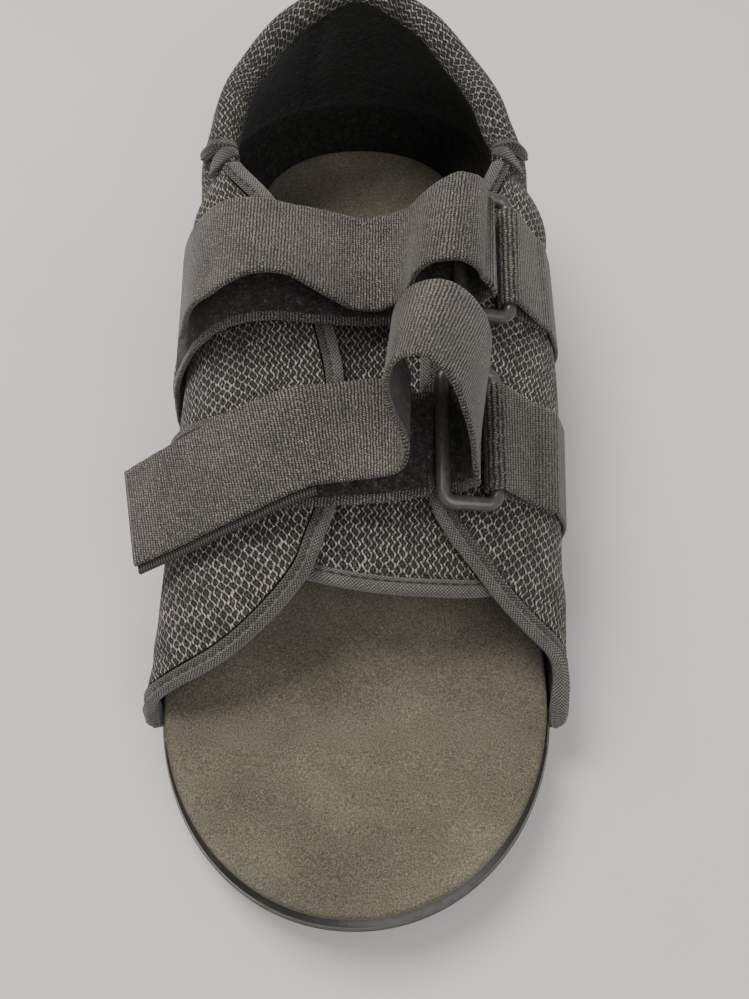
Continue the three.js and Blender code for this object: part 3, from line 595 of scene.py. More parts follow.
def modify(made, kind, **settings):
    """Runs one modifier and keeps its result."""
    modifier = made.modifiers.new(kind.lower(), kind)
    for key, value in settings.items():
        setattr(modifier, key, value)
    graph = bpy.context.evaluated_depsgraph_get()
    new = bpy.data.meshes.new_from_object(made.evaluated_get(graph))
    made.modifiers.clear()
    made.data = new


# Materials, each from nodes, on the millimetres of the cloth's own surface

SOCKETS = {
    "roughness": "Roughness",
    "specular": "Specular IOR Level",
    "sheen": "Sheen Weight",
    "sheen_roughness": "Sheen Roughness",
    "coat": "Coat Weight",
    "coat_roughness": "Coat Roughness",
}


class Number:
    """A value worked out by nodes, on which the usual signs work."""

    def __init__(self, shader, socket):
        self.shader = shader
        self.socket = socket

    def __abs__(self):
        return self.shader.math("ABSOLUTE", self)


for sign, operation in (("add", "ADD"), ("sub", "SUBTRACT"), ("mul", "MULTIPLY"), ("truediv", "DIVIDE"),
                        ("pow", "POWER"), ("mod", "MODULO")):
    setattr(Number, f"__{sign}__", lambda a, b, kind=operation: a.shader.math(kind, a, b))
    setattr(Number, f"__r{sign}__", lambda a, b, kind=operation: a.shader.math(kind, b, a))


class Shader:
    """A material whose pattern is worked out by nodes."""

    def __init__(self, name, **plain):
        self.material = bpy.data.materials.new(name)
        self.material.use_nodes = True
        self.tree = self.material.node_tree
        self.surface = self.tree.nodes["Principled BSDF"]
        for socket, value in plain.items():
            self.surface.inputs[SOCKETS[socket]].default_value = value

    def node(self, kind, inputs=(), **settings):
        """A new node's first output, with its inputs given by name or by place."""
        made = self.tree.nodes.new(kind)
        for key, value in settings.items():
            setattr(made, key, value)
        for socket, value in dict(inputs).items():
            self.put(made.inputs[socket], value)
        return Number(self, made.outputs[0])

    def put(self, socket, value):
        if isinstance(value, Number):
            self.tree.links.new(value.socket, socket)
        else:
            socket.default_value = value

    def math(self, operation, *values):
        return self.node("ShaderNodeMath", enumerate(values), operation=operation)

    def sine(self, value):
        return self.math("SINE", value)

    def floored(self, value):
        return self.math("MAXIMUM", value, 0)

    def ridge(self, value):
        """Rows of ridges, one for each whole step of the value."""
        return abs(self.sine(value * math.pi))

    def odd(self, value):
        """1 in every other whole step of the value, and 0 between."""
        return abs(self.math("FLOOR", value)) % 2

    def cloth(self):
        """The cloth's two distances, along and across, in millimetres."""
        split = self.tree.nodes.new("ShaderNodeSeparateXYZ")
        self.put(split.inputs[0], self.node("ShaderNodeUVMap", uv_map="cloth"))
        return Number(self, split.outputs[0]), Number(self, split.outputs[1])

    def noise(self, scale, detail=2.0, roughness=0.5):
        """Noise in the object's own place, in metres."""
        own_place = self.tree.nodes.new("ShaderNodeTexCoord").outputs["Object"]
        return self.node("ShaderNodeTexNoise", {"Vector": Number(self, own_place), "Scale": scale,
                                                "Detail": detail, "Roughness": roughness})

    def ramp(self, value, stops):
        made = self.node("ShaderNodeValToRGB", {0: value})
        elements = made.socket.node.color_ramp.elements
        while len(elements) < len(stops):
            elements.new(0.5)
        for element, (at, colour) in zip(elements, stops):
            element.position = at
            element.color = (*colour, 1)
        return made

    def span(self, value, low, high, new_low=0.0, new_high=1.0):
        return self.node("ShaderNodeMapRange", enumerate((value, low, high, new_low, new_high)))

    def bump(self, height, distance, strength=1.0, under=None):
        inputs = {"Strength": strength, "Distance": distance, "Height": height}
        if under is not None:
            inputs["Normal"] = under
        return self.node("ShaderNodeBump", inputs)

    def finish(self, colour, roughness=None, normal=None):
        for socket, value in (("Base Color", colour), ("Roughness", roughness), ("Normal", normal)):
            if value is not None:
                self.put(self.surface.inputs[socket], value)
        return self.material


def grey(value, warm=0.06):
    return (value * (1 + warm), value, value * (1 - 1.6 * warm))


def knit_material(name, light, pitch=1.65, period=2.9, swing=0.28, half_strand=0.24):
    """Warp knit: wavy wales that lean on each other, with painted shade in the dark holes between and painted
    glints on the bright curls.
    """
    s = Shader(name, specular=0.3, sheen=0.12, sheen_roughness=0.4)
    along, across = s.cloth()
    drift = s.span(s.noise(450, 2), 0, 1, -0.95, 0.95)
    wales = (across + drift * -0.55) / pitch
    open_net = s.span(s.noise(32, 1), 0.42, 0.56, 0.17, 0.5)
    wave = s.sine(((along + drift) / period + s.odd(wales) * open_net) * (2 * math.pi))
    leg = abs(wave)

    def strand(reach, size):
        away = s.math("FRACT", wales) - 0.5 - wave * reach
        return s.math("SQRT", s.floored(1 - (abs(away) / size) ** 2))

    front = strand(swing, half_strand) * (leg * 0.35 + 0.65)
    behind = strand(-1.35 * swing, half_strand * 0.7) * 0.42
    tie = s.floored(1 - leg * 3.2) * 0.42
    height = s.math("MAXIMUM", s.math("MAXIMUM", front, behind), tie)
    yarn = s.noise(2600, 2, 0.75)
    cloud = s.noise(210, 2, 0.6)
    # painted glints: bright specks of reflected light on the curls, gathered where the cloud noise is high
    painted_glint = s.span(s.noise(1500, 1), 0.60, 0.70) * s.span(cloud, 0.4, 0.65, 0.25, 1.2)
    # the yarn's own tone and clouds, darkened with the yarn's height as painted shade in the holes, plus the
    # painted glints
    lit = height * (yarn * 1.5 + 0.05) * s.span(cloud, 0.3, 0.7, 0.75, 1.15) + painted_glint * height * 0.75
    colour = s.ramp(lit, [(0.1, grey(0.006)), (0.36, grey(light * 0.28)), (0.62, grey(light)),
                          (1.0, grey(light * 2.6, 0.12))])
    normal = s.bump(height, 0.0006, 1.0, s.bump(yarn, 0.00014, 0.7))
    return s.finish(colour, s.span(height, 0, 1, 0.95, 0.6), normal)


def webbing_material(name, light, rib, dot=0.7):
    """Woven webbing: faint ribs across it, each a row of dots, with painted shade between the ribs and
    painted glints as bright specks.
    """
    s = Shader(name, specular=0.35, sheen=0.2, sheen_roughness=0.35)
    along, across = s.cloth()
    ribs = (along + s.span(s.noise(500, 2), 0, 1, -0.35, 0.35)) / rib
    bead = s.ridge(across / dot + s.odd(ribs) * 0.5)
    height = s.ridge(ribs) * 0.8 * (bead * 0.55 + 0.45) + 0.15
    yarn = s.noise(2400, 2, 0.75)
    cloud = s.span(s.noise(45, 3, 0.6), 0.3, 0.7, 0.82, 1.12)
    # painted glints: bright specks of reflected light on the yarn
    painted_glint = s.span(s.noise(1900, 0), 0.66, 0.76)
    # the yarn's own tone and clouds, darkened with the rib height as painted shade between the ribs, plus the
    # painted glints
    lit = height * (yarn * 2.6 - 0.45) * cloud + painted_glint * 0.5
    colour = s.ramp(lit, [
        (0.12, grey(light * 0.05)), (0.43, grey(light * 0.6)), (1.0, grey(light * 4.0, 0.1))])
    normal = s.bump(height, 0.0003, 0.9, s.bump(yarn, 0.0001, 0.6))
    return s.finish(colour, s.span(height, 0, 1, 0.85, 0.55), normal)


def tape_material(name, light, pitch):
    """Edge tape: a close weave on the slant, with painted shade between the yarns."""
    s = Shader(name, specular=0.4, sheen=0.25, sheen_roughness=0.35)
    along, across = s.cloth()
    slant = pitch * 1.414
    height = s.ridge((along + across) / slant) * s.ridge((along - across) / slant)
    yarn = s.noise(2300, 2, 0.75)
    cloud = s.span(s.noise(90, 2, 0.6), 0.3, 0.7, 0.85, 1.15)
    # the yarn's own tone and clouds, darkened with the weave's height as painted shade between the yarns
    colour = s.ramp((height + 0.2) * (yarn * 2.0 - 0.15) * cloud,
                    [(0.05, grey(light * 0.2)), (0.5, grey(light * 0.85)), (1.0, grey(light * 2.4))])
    normal = s.bump(height, 0.0003, 0.9, s.bump(yarn, 0.00008, 0.5))
    return s.finish(colour, s.span(height, 0, 1, 0.85, 0.6), normal)


def pile_material(name, light):
    """Brushed pile: short fibres that lie every way."""
    s = Shader(name, roughness=0.95, specular=0.1, sheen=0.12, sheen_roughness=0.5)
    fibre = s.noise(1500, 3, 0.75)
    tuft = s.noise(420, 2, 0.6)
    colour = s.ramp(fibre * (tuft + 0.5), [
        (0.3, grey(light * 0.3)), (0.55, grey(light)), (0.72, grey(light * 2.6))])
    return s.finish(colour, None, s.bump(fibre, 0.0005, 0.8, s.bump(tuft, 0.0009, 0.6)))


def foam_material(name):
    """Foam board with fine dark and pale specks and soft clouds."""
    s = Shader(name, specular=0.2)
    speck = s.noise(2300, 2, 0.75)
    fleck = s.noise(1200, 1)
    colour = s.ramp(speck * 0.75 + s.noise(26, 3, 0.55) * 0.35, [
        (0.36, (0.034, 0.030, 0.022)), (0.53, (0.098, 0.089, 0.066)),
        (0.68, (0.170, 0.155, 0.118)), (0.80, (0.36, 0.33, 0.27))])
    normal = s.bump(speck, 0.00022, 0.6, s.bump(fleck, 0.0003, 0.35))
    return s.finish(colour, s.span(speck, 0.3, 0.7, 0.95, 0.8), normal)


def rubber_material(name):
    """Moulded foam rubber with a fine grain and scuffs."""
    s = Shader(name, specular=0.5, coat=0.3, coat_roughness=0.25)
    grain = s.noise(900, 3, 0.6)
    scuff = s.span(s.noise(60, 4, 0.65), 0.52, 0.68)
    colour = s.ramp(scuff * 0.5 + grain * 0.3, [
        (0.1, (0.007, 0.004, 0.003)), (0.5, (0.014, 0.010, 0.007)), (0.9, (0.04, 0.033, 0.026))])
    return s.finish(colour, s.span(scuff, 0, 1, 0.38, 0.7), s.bump(grain, 0.00015, 0.5))


def ring_material(name):
    """Satin black moulded plastic."""
    s = Shader(name, specular=0.55, coat=0.2, coat_roughness=0.25)
    grain = s.noise(700, 3, 0.6)
    colour = s.ramp(grain, [(0.3, (0.035, 0.034, 0.031)), (0.7, (0.07, 0.069, 0.062))])
    return s.finish(colour, s.span(grain, 0.3, 0.7, 0.32, 0.45), s.bump(grain, 0.0001, 0.35))


def thread_material(name, light):
    """Twisted sewing thread, with painted shade between the twists."""
    s = Shader(name, specular=0.4, sheen=0.2)
    along, across = s.cloth()
    twist = abs(s.sine((along + across) * 9))
    # darker between the twists as painted shade, lighter on their ridges
    colour = s.ramp(twist, [(0.1, grey(light * 0.4)), (0.9, grey(light * 1.3))])
    return s.finish(colour, 0.7, s.bump(twist, 0.0001, 0.5))


def hook_material(name, light, pitch=0.85):
    """Moulded hook tape: rows of small hooks across it, with painted shade between them."""
    s = Shader(name, specular=0.45)
    along, across = s.cloth()
    height = s.ridge(along / pitch) * (s.ridge(across / pitch) * 0.7 + 0.3)
    # the plastic's tone, darkened with the hook height as painted shade between the hooks
    colour = s.ramp(height * (s.noise(1500, 2, 0.6) + 0.5),
                    [(0.1, grey(light * 0.2)), (0.6, grey(light)), (1.0, grey(light * 2))])
    return s.finish(colour, s.span(height, 0, 1, 0.8, 0.45), s.bump(height, 0.0005, 1.0))


KNIT = knit_material("knit", 0.165)
# The collar's knit is a darker copy of the same knit: painted shade where the lamp falls on the collar, and
# dimmer painted glints.
COLLAR_KNIT = knit_material("collar_knit", 0.125, pitch=1.7, period=2.9)
WEBBING = webbing_material("webbing", 0.049, rib=0.85)
CHAPE_WEBBING = webbing_material("chape_webbing", 0.045, rib=1.25)
TAPE = tape_material("tape", 0.088, pitch=0.7)
WRAP_TAPE = tape_material("wrap_tape", 0.045, pitch=0.7)
FLAT_TAPE = tape_material("flat_tape", 0.055, pitch=0.8)
PILE = pile_material("pile", 0.034)
# The lining is dark cloth, made darker still as painted shade inside the shoe.
LINING = pile_material("lining", 0.012)
FOAM = foam_material("foam")
RUBBER = rubber_material("rubber")
PLASTIC = ring_material("plastic")
THREAD = thread_material("thread", 0.022)
PALE_THREAD = thread_material("pale_thread", 0.07)
HOOK = hook_material("hook", 0.05)


# Sole and footbed

def outline_object(name, rings, material):
    """A closed body from rings, each with its distance out and its heights, and two caps in strips."""
    loops = [(moved_outline(out), up) for out, up in rings]
    grid = np.stack([place(loop[:, 0], loop[:, 1], up(loop[:, 1])) for loop, up in loops])
    rows, columns = grid.shape[:2]
    points = grid.reshape(-1, 3)
    faces = grid_faces(rows, columns, True)
    if volume(points, faces) < 0:
        faces = faces[:, ::-1]
    half = len(HALF)
    strips = []
    for start in (0, (rows - 1) * columns):
        strip = [[start, start + 1, start + columns - 1]]
        for i in range(1, half - 2):
            strip.append([start + i, start + i + 1, start + columns - i - 1, start + columns - i])
        strip.append([start + half - 2, start + half - 1, start + columns - half + 2])
        strips.append(strip)
    corner, ahead, beside = points[strips[1][3][:3]]
    turned = 0 if np.cross(ahead - corner, beside - corner)[2] > 0 else 1
    strips[turned] = [face[::-1] for face in strips[turned]]
    all_faces = [list(f) for f in faces] + strips[0] + strips[1]
    uvs = points[np.concatenate([np.array(f) for f in all_faces])][:, :2]
    return make(name, points, all_faces, uvs, [material], [0] * len(all_faces))


def rounded(out_from, out_to, up_from, up_to, steps, flip=False):
    """Rings round a quarter of an edge. up values are functions of the place."""
    rings = []
    for i in range(1, steps):
        angle = i / steps * QUARTER
        a, b = (1 - math.cos(angle), math.sin(angle)) if flip else (math.sin(angle), 1 - math.cos(angle))
        rings.append((mix(out_from, out_to, a), lambda t, b=b: mix(up_from(t), up_to(t), b)))
    return rings


def build_footbed():
    low = lambda t: sole_top + top_lift(t)
    high = lambda t: footbed_top + top_lift(t)
    low_edge = lambda t: low(t) + footbed_round / 2
    high_edge = lambda t: high(t) - footbed_round
    rings = [(-footbed_round / 2, low)]
    rings += rounded(-footbed_round / 2, 0, low, low_edge, 3)
    rings += [(0, low_edge), (0, high_edge)]
    rings += rounded(0, -footbed_round, high_edge, high, 6, flip=True)
    rings += [(-footbed_round, high), (-footbed_round - 2, high)]
    made = outline_object("footbed_board", rings, FOAM)
    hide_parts("footbed")


def build_outsole():
    ledge_start = first_run * heel_centre - corner_radius
    rib_low = rebate_floor - side_rib_height - side_rib_depth
    at = lambda height: (lambda t: mix(bottom_height(t), rebate_floor + top_lift(t), height / rebate_floor))
    before = lambda t: 1 - smooth((t - ledge_start + 0.4) / 0.8)
    lift = lambda toe, back: (lambda t: mix(back, toe, before(t)) + top_lift(t))
    deck = lambda t: outsole_thickness + top_lift(t)
    ledge = lift(outsole_thickness, rebate_floor)
    out, low = outsole_overhang, outsole_overhang - outsole_round
    flank = outsole_overhang - side_rib_depth
    inset = lasting_margin + 3 * seam
    rib_step = (rib_low - outsole_round) / fine_ribs
    rings = [(low - 2, bottom_height), (low, bottom_height),
             *rounded(low, flank, bottom_height, at(outsole_round), 5), (flank, at(outsole_round))]
    for i in range(fine_ribs):
        for share, rib in ((0.25, 0), (0.4, fine_rib_depth), (0.62, fine_rib_depth), (0.78, 0)):
            rings.append((flank + rib, at(outsole_round + (i + share) * rib_step)))
    rings += [
        (flank, at(rib_low)), (out - 0.25, at(rib_low + 0.45)), (out, at(rib_low + side_rib_depth + 0.3)),
        (out, at(rib_low + side_rib_height - 0.5)), (out - 0.2, at(rib_low + side_rib_height)),
        (flank, lift(outsole_thickness - side_rib_depth, rebate_floor)),
        (0, ledge), (-inset + 0.2, ledge), (-inset, deck), (-inset - 2, deck),
    ]
    made = outline_object("outsole_body", rings, RUBBER)
    cutter = groove_cutter()
    modify(made, "BOOLEAN", operation="DIFFERENCE", solver="EXACT", object=cutter)
    bpy.data.objects.remove(cutter)
    made.data.set_sharp_from_angle(angle=math.radians(35))
    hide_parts("outsole")


def groove_cutter():
    """The grooves between the lugs as one cutting mesh."""
    steps = 33
    share = np.linspace(0, 1, steps)[:, None]
    x = (share - 0.5) * (ball_width + 4 * outsole_overhang)
    wave = lug_wave * np.cos(share * 4 * math.pi)
    first_heel = heel_rest_from_toe - lug_wave - (heel_grooves - 1) * lug_pitch / 2
    places = [first_groove_from_toe + i * lug_pitch for i in range(ball_grooves)]
    places += [first_heel + i * lug_pitch for i in range(heel_grooves)]
    half, reach = lug_gap / 2, lug_depth + toe_rocker
    shift = np.array([half + groove_draft, half, half - groove_chamfer])
    shift = np.concatenate([-shift, shift[::-1]])
    down = np.array([reach, groove_chamfer, 0, 0, groove_chamfer, reach])
    grids = [place(x, at + wave + shift, bottom_height(at) + lug_depth - down) for at in places]
    no_uv = np.zeros((steps, len(shift) + 1, 2))
    points, faces, *_ = grid_parts(grids, [no_uv] * len(grids), wrap=True, caps=True)
    mesh = bpy.data.meshes.new("grooves")
    mesh.from_pydata((points * MM).tolist(), [], [face.tolist() for face in faces])
    return add("grooves", mesh)


# The upper: soft troughs and ridges, listed one by one. run and climb give the middle of
# each, long and wide its half sizes in the same shares, deep its depth in mm.
CREASES = Table("hand run climb long wide slant deep", """
    -1 0.905 1.30 0.022 0.26 0.4 2.4
    -1 0.845 1.22 0.030 0.28 0.4 -1.4
    -1 0.80 1.05 0.03 0.35 0.3 0.9
    1 0.905 1.30 0.022 0.26 -0.4 2.4
    1 0.845 1.22 0.030 0.28 -0.4 -1.4
    1 0.79 1.10 0.03 0.35 -0.3 0.9
    -1 0.55 1.30 0.09 0.35 0.2 -0.9
    -1 0.36 1.15 0.05 0.40 0.4 -0.7
    1 0.33 1.10 0.05 0.40 -0.4 -0.7
    -1 1.15 1.10 0.10 0.10 0.0 0.6
    1 1.20 1.15 0.10 0.10 0.0 0.6
    -1 1.75 1.20 0.07 0.45 0.2 0.9
    1 1.70 1.25 0.07 0.45 -0.2 0.9
""")


def crease_depth(run, hand, climb):
    """How far the soft troughs and ridges move the wall out. They fade at the sole and at the edge."""
    total = np.zeros(np.broadcast(run, climb).shape)
    for side, at_run, at_climb, long, wide, slant, deep in CREASES.rows:
        if side == hand:
            up = (climb - at_climb) / wide
            along = (run - at_run) / long - slant * up
            total -= deep * np.exp(-along**2 - up**2)
    return total * smooth((climb - 0.1) / 0.3) * smooth((edge_climb(run, hand) - climb) / 0.12)


def pinch(run):
    """How far the tape wound round the collar's front end draws each side of it in."""
    return wrap_pinch * np.exp(-((run - wrap_run) / wrap_reach) ** 2)


def drawn_in(run, climb):
    """The same, from none low on the wall."""
    return pinch(run) * smooth((climb - pad_start) / 0.3)


def flap_runs(count):
    """Places along the flaps, close together at the steep front."""
    front = np.linspace(first_run, steep_end, 44)
    return np.concatenate([front[:-1], np.linspace(steep_end, notch_run, count)])


rim_angles = np.radians([0, 12, 24, 36, 48, 60, 72, 84])
wall_rows = 34
collar_column = 30
collar_stations = 74
closing_distance = 8


def build_upper():
    """The mesh wall with its padded collar, and the lining inside it."""
    flaps = flap_runs(67)
    flaps = flaps[flaps > flap_start]
    collar = np.linspace(notch_run + 2 * tape_seam / heel_centre, 2, collar_stations)
    runs = np.concatenate([flaps, [notch_run], collar])
    bound = runs <= notch_run
    inset = np.where(bound, tape_width + tape_seam, 0.0)
    sides = []
    for hand in (-1, 1):
        thick = wall_thickness(runs, hand, inset_climb(runs, hand, inset)) - 2 * pinch(runs)
        rim = []
        for angle in rim_angles:
            climb = inset_climb(runs, hand, inset + thick / 2 * (1 - math.sin(angle)))
            rim.append((climb, np.where(bound, 0, thick / 2 * (1 - math.cos(angle)))))
        rows = [(np.full(len(runs), c), 0) for c in (-2, -1.5, -1, -0.75, -0.5, -0.25, 0)]
        rows += [(rim[0][0] * i / wall_rows, 0) for i in range(1, wall_rows)] + rim
        outer, inner = [], []
        for climb, cut in rows:
            fold, draw = crease_depth(runs, hand, climb), drawn_in(runs, climb)
            outer.append(raised(runs, hand, climb, fold - cut - draw))
            inner.append(raised(runs, hand, climb, fold + cut + draw - wall_thickness(runs, hand, climb)))
        sides.append(np.stack(outer + inner[::-1], 1))
    grid = np.concatenate([sides[0], sides[1][-2::-1]])
    uv = cloth_places(grid, 16, closing_distance)
    columns = grid.shape[1]
    column = np.arange(columns)[None]
    station = np.arange(len(grid) - 1)[:, None]
    on_lining = (column >= columns // 2 + len(rim_angles) - 2) & (column < columns - 1)
    collar_part = (station > len(flaps)) & (station < len(grid) - 1 - len(flaps))
    kinds = np.where(collar_part & (column > collar_column), 1, 0)
    shell = grid_object("upper_mesh", [grid], [uv], [KNIT, COLLAR_KNIT],
                        kinds=kinds, wrap=True, keep=~on_lining)
    lining = grid_object("upper_lining", [grid], [uv], [LINING], wrap=True, keep=on_lining)
    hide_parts("upper")


# Tape round the edges, with a rolled edge, a sewn groove and a flat lane.
# inset is the distance from the edge, off is above the upper's surface.
TAPE_PROFILE = [
    (5.0, 0.05), (4.85, 0.5), (4.4, 0.62), (3.7, 0.6), (3.25, 0.25), (2.95, 0.20), (2.6, 0.62), (2.0, 1.05),
]
flat_lane = 4
tape_groove = 5


def build_flap_binding(hand, name, node):
    runs = np.concatenate([flap_runs(87), [notch_run - seam / heel_centre]])
    front = runs[0] + nose / heel_centre
    runs = np.concatenate([[front], runs[runs > front + 0.002]])
    half = (tape_outer + tape_inner) / 2
    section = [(inset, off, 0.1 - tape_inner) for inset, off in TAPE_PROFILE]
    for angle in np.radians([10, 25, 40, 55, 70, 83]):
        cut = half * (1 - math.cos(angle))
        section.append((half * (1 - math.sin(angle)), tape_outer - cut, cut - tape_inner))
    outer, inner = [], []
    for inset, off, off_inside in section:
        climb = inset_climb(runs, hand, inset, lowest_tape)
        outer.append(raised(runs, hand, climb, off))
        inner.append(raised(runs, hand, climb, off_inside))
    grid = with_nose(np.stack(outer + inner[::-1], 1))
    uv = weave_places(grid, len(outer) - 1)
    lane = np.arange(grid.shape[1])[None] < flat_lane
    made = grid_object(name, [grid], [uv], [TAPE, FLAT_TAPE],
                       kinds=np.where(lane, 1, 0), wrap=True, caps=True)
    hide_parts(node)
    groove_inset = TAPE_PROFILE[tape_groove][0]
    climb = inset_climb(runs, hand, groove_inset, lowest_tape)
    stitches(name + "_stitches", outer[tape_groove], outward(runs, hand, climb), THREAD)


def weave_places(grid, rim):
    """Distances along and across a tape whose sections lie on the slant."""
    line = grid[:, rim]
    way = unit(np.gradient(line, axis=0))[:, None]
    shift = ((grid - line[:, None]) * way).sum(-1)
    steps = np.diff(grid, axis=1)
    beside = np.linalg.norm(steps - way * (steps * way).sum(-1, keepdims=True), axis=-1)
    across = np.concatenate([0 * beside[:, :1], np.cumsum(beside, 1)], 1)
    return closed(np.stack([lengths(line)[:, None] + shift, across - across[:, rim:rim + 1]], -1))


def with_nose(grid):
    """The grid with a rounded end before its first row."""
    centre = grid[0].mean(0)
    way = unit(centre - grid[3].mean(0))
    rows = []
    for angle in np.radians([6, 20, 35, 50, 65, 80]):
        rows.append(centre + (grid[0] - centre) * math.sin(angle) + way * nose * math.cos(angle))
    return np.concatenate([rows, grid])


def over_rim(run, hand, place_on, lift):
    """A place on the wall's wrap: -1 to 0 on the outside, 0 to 1 round the rim, 1 to 2 inside."""
    thick = wall_thickness(run, hand, inset_climb(run, hand, 0)) - 2 * pinch(run)
    turn = np.clip(place_on, 0, 1) * math.pi
    down = wrap_length * (np.maximum(-place_on, 0) + np.maximum(place_on - 1, 0))
    climb = inset_climb(run, hand, down + thick / 2 * (1 - np.sin(turn)))
    draw = drawn_in(run, climb)
    inside = wall_thickness(run, hand, climb) - 2 * draw
    depth = np.select([place_on <= 0, place_on < 1], [0 * turn, thick / 2 * (1 - np.cos(turn))], inside)
    here, normal = skin(run, hand, climb), outward(run, hand, climb)
    along = unit(skin(run + near, hand, climb) - skin(run - near, hand, climb))
    up = np.cross(along, normal)
    up = up * np.sign((up * (here - skin(run, hand, climb - 0.02))).sum(-1))[..., None]
    out = normal * np.cos(turn)[..., None] + up * np.sin(turn)[..., None]
    return here - normal * (depth + draw)[..., None] + out * lift[..., None]


def build_notch_wraps(hand, name):
    """Two turns of tape wound over the collar's front end."""
    for label, middle, slant, width, lift in (("low", wrap_run - 0.004, 0.004, 6.0, 0.75),
                                              ("high", wrap_run + 0.004, -0.012, 4.2, 1.35)):
        place_on = np.linspace(-1, 2, 46)[:, None]
        share = np.linspace(-1, 1, 13)[None]
        run = middle + slant * (place_on - 0.5) + share * width / 2 / heel_centre
        rise = lift * np.sqrt(np.maximum(0, 1 - share**4)) * (0.85 + 0.15 * np.cos(5 * share + 3 * place_on))
        spots = np.broadcast_to(place_on, run.shape).ravel()
        flat = lambda rises: over_rim(run.ravel(), hand, spots, rises.ravel()).reshape(*run.shape, 3)
        uv = np.stack(np.broadcast_arrays(place_on * wrap_length, share * width / 2), -1)
        made = closed_slab(f"{name}_{label}", flat(rise), flat(0 * rise - 0.25), uv, [WRAP_TAPE])


def stitches(name, path, normals, material, pitch=3.1, length=2.3, radius=0.27):
    """Short rounded stitches along a line on the cloth."""
    run = lengths(path)
    at = lambda s, values=path: np.stack([np.interp(s, run, values[:, k]) for k in range(3)], -1)
    share, size = np.array([(-0.5, 0.25), (-0.36, 0.85), (0, 1.0), (0.36, 0.85), (0.5, 0.25)]).T
    grids = []
    for i in range(int(run[-1] // pitch)):
        middle = (i + 0.5) * pitch + random.uniform(-0.12, 0.12)
        normal = unit(at(middle, normals))
        s = middle + share * length
        centre = at(s) + normal * (radius * (2 * size - 1.3))[:, None]
        beside = np.cross(unit(at(s + 0.3) - at(s - 0.3)), normal)
        grids.append(tube(centre, beside, normal, radius * size, 6))
    made = tubes(name, grids, 0.5, material)


# The tongue

tongue_outer = -(tape_inner + seam)


def tongue_grid(front_in, rear_in, off, columns, rows, edge=0.0):
    low, high = TONGUE.rows[0, 0], TONGUE.rows[-1, 0]
    across = np.linspace(low, high, columns)[:, None]
    s = TONGUE.read(across)
    start = tongue_from_toe + s["front"] * tongue_length + front_in
    end = tongue_from_toe + (s["rear"] * tongue_length if rear_in is None
                             else s["front"] * tongue_length + rear_in)
    share = np.linspace(0, 1, rows)[None]
    from_toe = mix(start, end, share)
    inside = np.minimum(np.minimum(across - low, high - across) * tongue_width, (1 - share) * (end - start))
    drop = edge * np.clip(1 - inside / 1.2, 0, 1) ** 2
    x = tongue_centre + across * tongue_width + 0 * from_toe
    return over_instep(x, from_toe, off + drop), np.stack([from_toe, x], -1)


def build_tongue():
    off, inset, count = tongue_outer - tape_thickness, tape_width - 0.6, 60
    drop = tongue_thickness * 0.4
    top, uv = tongue_grid(inset, None, off, count, count, -drop)
    under, _ = tongue_grid(inset, None, off - tongue_thickness, count, count, drop)
    made = closed_slab("tongue_pad", top, under, uv, [KNIT])
    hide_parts("tongue")
    half = tongue_thickness / 2 + tape_thickness
    section = [(5.0, 0.15), (4.6, 0.8), (4.0, 1.0), (3.6, 0.65), (3.3, 0.65), (2.9, 0.95), (2.2, 1.0)]
    section += [(half * (1 - math.sin(a)), math.cos(a)) for a in np.radians([20, 40, 60, 78, 90])]
    section += [(inset, -share) for inset, share in section[::-1]]
    grid = np.concatenate([tongue_grid(inset, inset, tongue_outer - half + share * half, count, 1)[0]
                           for inset, share in section], 1)
    tape = grid_object("tongue_tape", [grid], [cloth_places(grid, 8)], [TAPE], wrap=True, caps=True)
    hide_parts("tongue_binding")
    groove = grid[:, 3]
    up = unit(np.cross(np.gradient(groove, axis=0), grid[:, 6] - grid[:, 1]))
    stitches("tongue_tape_stitches", groove, up * np.sign(up[:, 2:]), THREAD)


# Straps, rings and chapes

ring_lift = strap_rest + strap_thickness + seam + ring_bar / 2


class RingFrame:
    """A ring's own directions: over across the shoe, bar along it, out of it."""

    def __init__(self, across_share, along_share):
        self.across = across_share * half_ball
        self.from_toe = along_share * footbed_length
        reach = ring_length / 2
        self.centre = over_instep(self.across, self.from_toe, ring_lift)
        self.bar = unit(over_instep(self.across, self.from_toe + reach, ring_lift)
                        - over_instep(self.across, self.from_toe - reach, ring_lift))
        over = unit(over_instep(self.across + ring_width / 2, self.from_toe, 0)
                    - over_instep(self.across - ring_width / 2, self.from_toe, 0))
        self.out = unit(np.cross(over, self.bar))
        self.over = np.cross(self.bar, self.out)

    def at(self, across, along, above):
        parts = [np.asarray(a)[..., None] for a in (across, along, above)]
        return self.centre + parts[0] * self.over + parts[1] * self.bar + parts[2] * self.out


FRAMES = {name: RingFrame(*where) for name, where in RINGS.items()}


